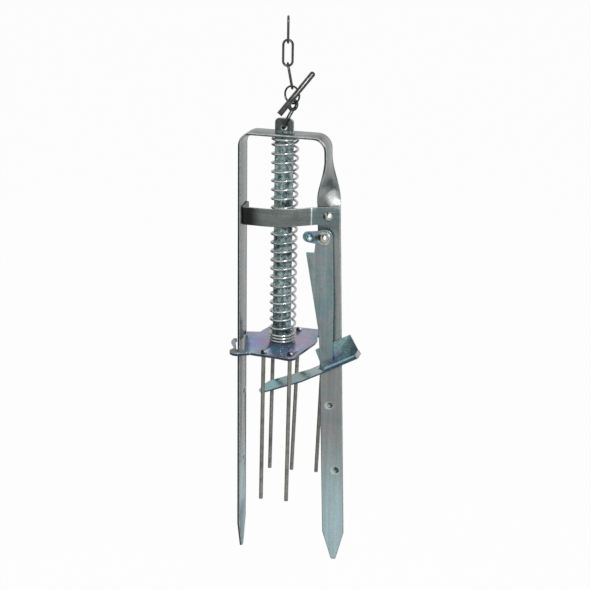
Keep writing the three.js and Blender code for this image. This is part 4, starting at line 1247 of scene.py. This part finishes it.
deselect()
bpy.ops.mesh.primitive_cylinder_add(vertices=40, radius=toggle_diameter / 2, depth=toggle_foot + toggle_head,
                                    location=(0, 0, (toggle_head - toggle_foot) / 2))
toggle = bpy.context.object
toggle.name = "toggle_bar_cut"
bpy.ops.object.transform_apply()
edit(toggle)
pick(toggle, lambda c: c.z > toggle_head - hair, faces=True)
bpy.ops.mesh.bevel(offset=toggle_crown, segments=8, affect="EDGES")
leave_edit()
across = Vector((math.cos(ring_turn), math.sin(ring_turn), 0))
hole_place = ring_centre + across * ring_radius * math.cos(toggle_on_ring)
hole_place.z += ring_radius * math.sin(toggle_on_ring)
wire_heading = across * -math.sin(toggle_on_ring) + Vector((0, 0, math.cos(toggle_on_ring)))
toggle_heading = Vector((math.cos(toggle_rise), math.tan(toggle_lean), math.sin(toggle_rise))).normalized()
toggle_turn = Vector((0, 0, 1)).rotation_difference(toggle_heading).to_matrix().to_4x4()
drill_heading = toggle_turn.inverted().to_3x3() @ wire_heading
bpy.ops.mesh.primitive_cylinder_add(vertices=32, radius=toggle_hole / 2, depth=toggle_diameter * 3)
cross_drill = bpy.context.object
cross_drill.matrix_world = Vector((0, 0, 1)).rotation_difference(drill_heading).to_matrix().to_4x4()
carve(toggle, cross_drill)
soften(toggle, turned_round, sharpest=shoulder_angle)
smooth(toggle)
settle(toggle, trap_place @ Matrix.Translation(hole_place) @ toggle_turn,
       "toggle_bar", ["toggle_bar"], chain_finish)

# Chain
# Three long links of plated wire, bent round and butt welded on one straight side.

second_foot = Vector((chain_side, 0,
                      third_foot.z + link_bend * math.cos(third_tilt) - link_wire - touch_gap))
first_foot = Vector((chain_side, 0, second_foot.z + link_bend - link_wire - touch_gap))
bend_radius = (link_width - link_wire) / 2
straight = link_length - link_width
bow_steps = 12
link_line = []
for end, start_angle in ((1, 0), (-1, math.pi)):
    for step in range(bow_steps + 1):
        angle = start_angle + math.pi * step / bow_steps
        link_line.append(Vector((bend_radius * math.cos(angle), 0,
                                 link_bend / 2 + end * straight / 2 + bend_radius * math.sin(angle))))
for name, foot, tilt, heading in (("chain_link_1", first_foot, 0, math.pi / 2 + chain_turn),
                                  ("chain_link_2", second_foot, 0, chain_turn),
                                  ("chain_link_3", third_foot, -third_tilt, math.pi / 2 + chain_turn)):
    link = bent_wire(name + "_welded", link_line, link_wire, closed=True)
    place = Matrix.Translation(foot) @ Matrix.Rotation(tilt, 4, "Y") @ Matrix.Rotation(heading, 4, "Z")
    settle(link, trap_place @ place, name, [name], chain_finish)

# Floor, light and camera
# The trap hangs over a pale floor in even studio light, seen from the right and a little above.

floor_drop = 380 * mm
view_azimuth = math.radians(15.09)
view_elevation = math.radians(19.47)
view_roll = math.radians(-0.986)
view_distance = 1464.4 * mm
view_target = trap_place @ Vector((14.9 * mm, 0, -184.9 * mm))
sensor = 36
focal_pixels = 1300
photo_pixels = 590
floor_size = 30
floor_white = 0.93
floor_roughness = 0.9
floor_glow = 0.97
sky_level = 0.32


def any_ray(nodes, links, kinds):
    """The output that is one for rays of the given kinds and nought for all others."""
    rays = nodes.new("ShaderNodeLightPath")
    found = rays.outputs[kinds[0]]
    for kind in kinds[1:]:
        either = nodes.new("ShaderNodeMath")
        either.operation = "MAXIMUM"
        links.new(found, either.inputs[0])
        links.new(rays.outputs[kind], either.inputs[1])
        found = either.outputs["Value"]
    return found


deselect()
bpy.ops.mesh.primitive_plane_add(size=floor_size, location=(0, 0, cad_box[0].z - floor_drop))
floor = bpy.context.object
floor.name = "studio_floor"
floor_paint = bpy.data.materials.new("studio_floor_paint")
floor_paint.use_nodes = True
floor_nodes, floor_links = floor_paint.node_tree.nodes, floor_paint.node_tree.links
floor_shader = floor_nodes["Principled BSDF"]
floor_shader.inputs["Base Color"].default_value = (floor_white,) * 3 + (1,)
floor_shader.inputs["Roughness"].default_value = floor_roughness
floor_shader.inputs["Specular IOR Level"].default_value = 0
glow = floor_nodes.new("ShaderNodeEmission")
glow.inputs["Strength"].default_value = 1
share = floor_nodes.new("ShaderNodeMath")
share.operation = "MULTIPLY"
share.inputs[1].default_value = floor_glow
floor_links.new(any_ray(floor_nodes, floor_links, ("Is Camera Ray", "Is Glossy Ray")), share.inputs[0])
floor_mix = floor_nodes.new("ShaderNodeMixShader")
floor_links.new(share.outputs["Value"], floor_mix.inputs["Fac"])
floor_links.new(floor_shader.outputs["BSDF"], floor_mix.inputs[1])
floor_links.new(glow.outputs["Emission"], floor_mix.inputs[2])
floor_links.new(floor_mix.outputs["Shader"], floor_nodes["Material Output"].inputs["Surface"])
floor.data.materials.append(floor_paint)

world = bpy.data.worlds.new("studio")
bpy.context.scene.world = world
world.use_nodes = True
sky_nodes, sky_links = world.node_tree.nodes, world.node_tree.links
backdrop = sky_nodes["Background"]
backdrop.inputs["Color"].default_value = (1, 1, 1, 1)
bright = any_ray(sky_nodes, sky_links, ("Is Camera Ray", "Is Glossy Ray", "Is Transmission Ray"))
level = sky_nodes.new("ShaderNodeMapRange")
level.inputs["To Min"].default_value = sky_level
level.inputs["To Max"].default_value = 1
sky_links.new(bright, level.inputs["Value"])
sky_links.new(level.outputs["Result"], backdrop.inputs["Strength"])


def softbox(name, spot, size, power):
    """A square lamp aimed at the middle of the trap."""
    lamp = bpy.data.lights.new(name, "AREA")
    lamp.shape = "SQUARE"
    lamp.size = size
    lamp.energy = power
    holder = bpy.data.objects.new(name, lamp)
    facing = (spot - view_target).to_track_quat("Z", "Y").to_matrix().to_4x4()
    holder.matrix_world = Matrix.Translation(spot) @ facing
    bpy.context.scene.collection.objects.link(holder)


for name, away, size, power in (("key_lamp", (0.55, -1.35, 0.7), 0.45, 20),
                                ("fill_lamp", (-1.4, -0.8, 0.4), 0.9, 1.5),
                                ("back_lamp", (-0.2, 1.2, 1.5), 0.9, 5)):
    softbox(name, view_target + Vector(away), size, power)

camera_data = bpy.data.cameras.new("photo_camera")
camera_data.sensor_width = sensor
camera_data.lens = focal_pixels / photo_pixels * sensor
camera = bpy.data.objects.new("photo_camera", camera_data)
right = Vector((math.cos(view_azimuth), math.sin(view_azimuth), 0))
forward = Vector((-math.sin(view_azimuth) * math.cos(view_elevation),
                  math.cos(view_azimuth) * math.cos(view_elevation), -math.sin(view_elevation)))
above = right.cross(forward)
rolled_right = right * math.cos(view_roll) - above * math.sin(view_roll)
rolled_up = right * math.sin(view_roll) + above * math.cos(view_roll)
turned = Matrix((rolled_right, rolled_up, -forward)).transposed().to_4x4()
camera.matrix_world = Matrix.Translation(view_target - forward * view_distance) @ turned
bpy.context.scene.collection.objects.link(camera)
bpy.context.scene.camera = camera
bpy.context.scene.view_settings.view_transform = "Standard"
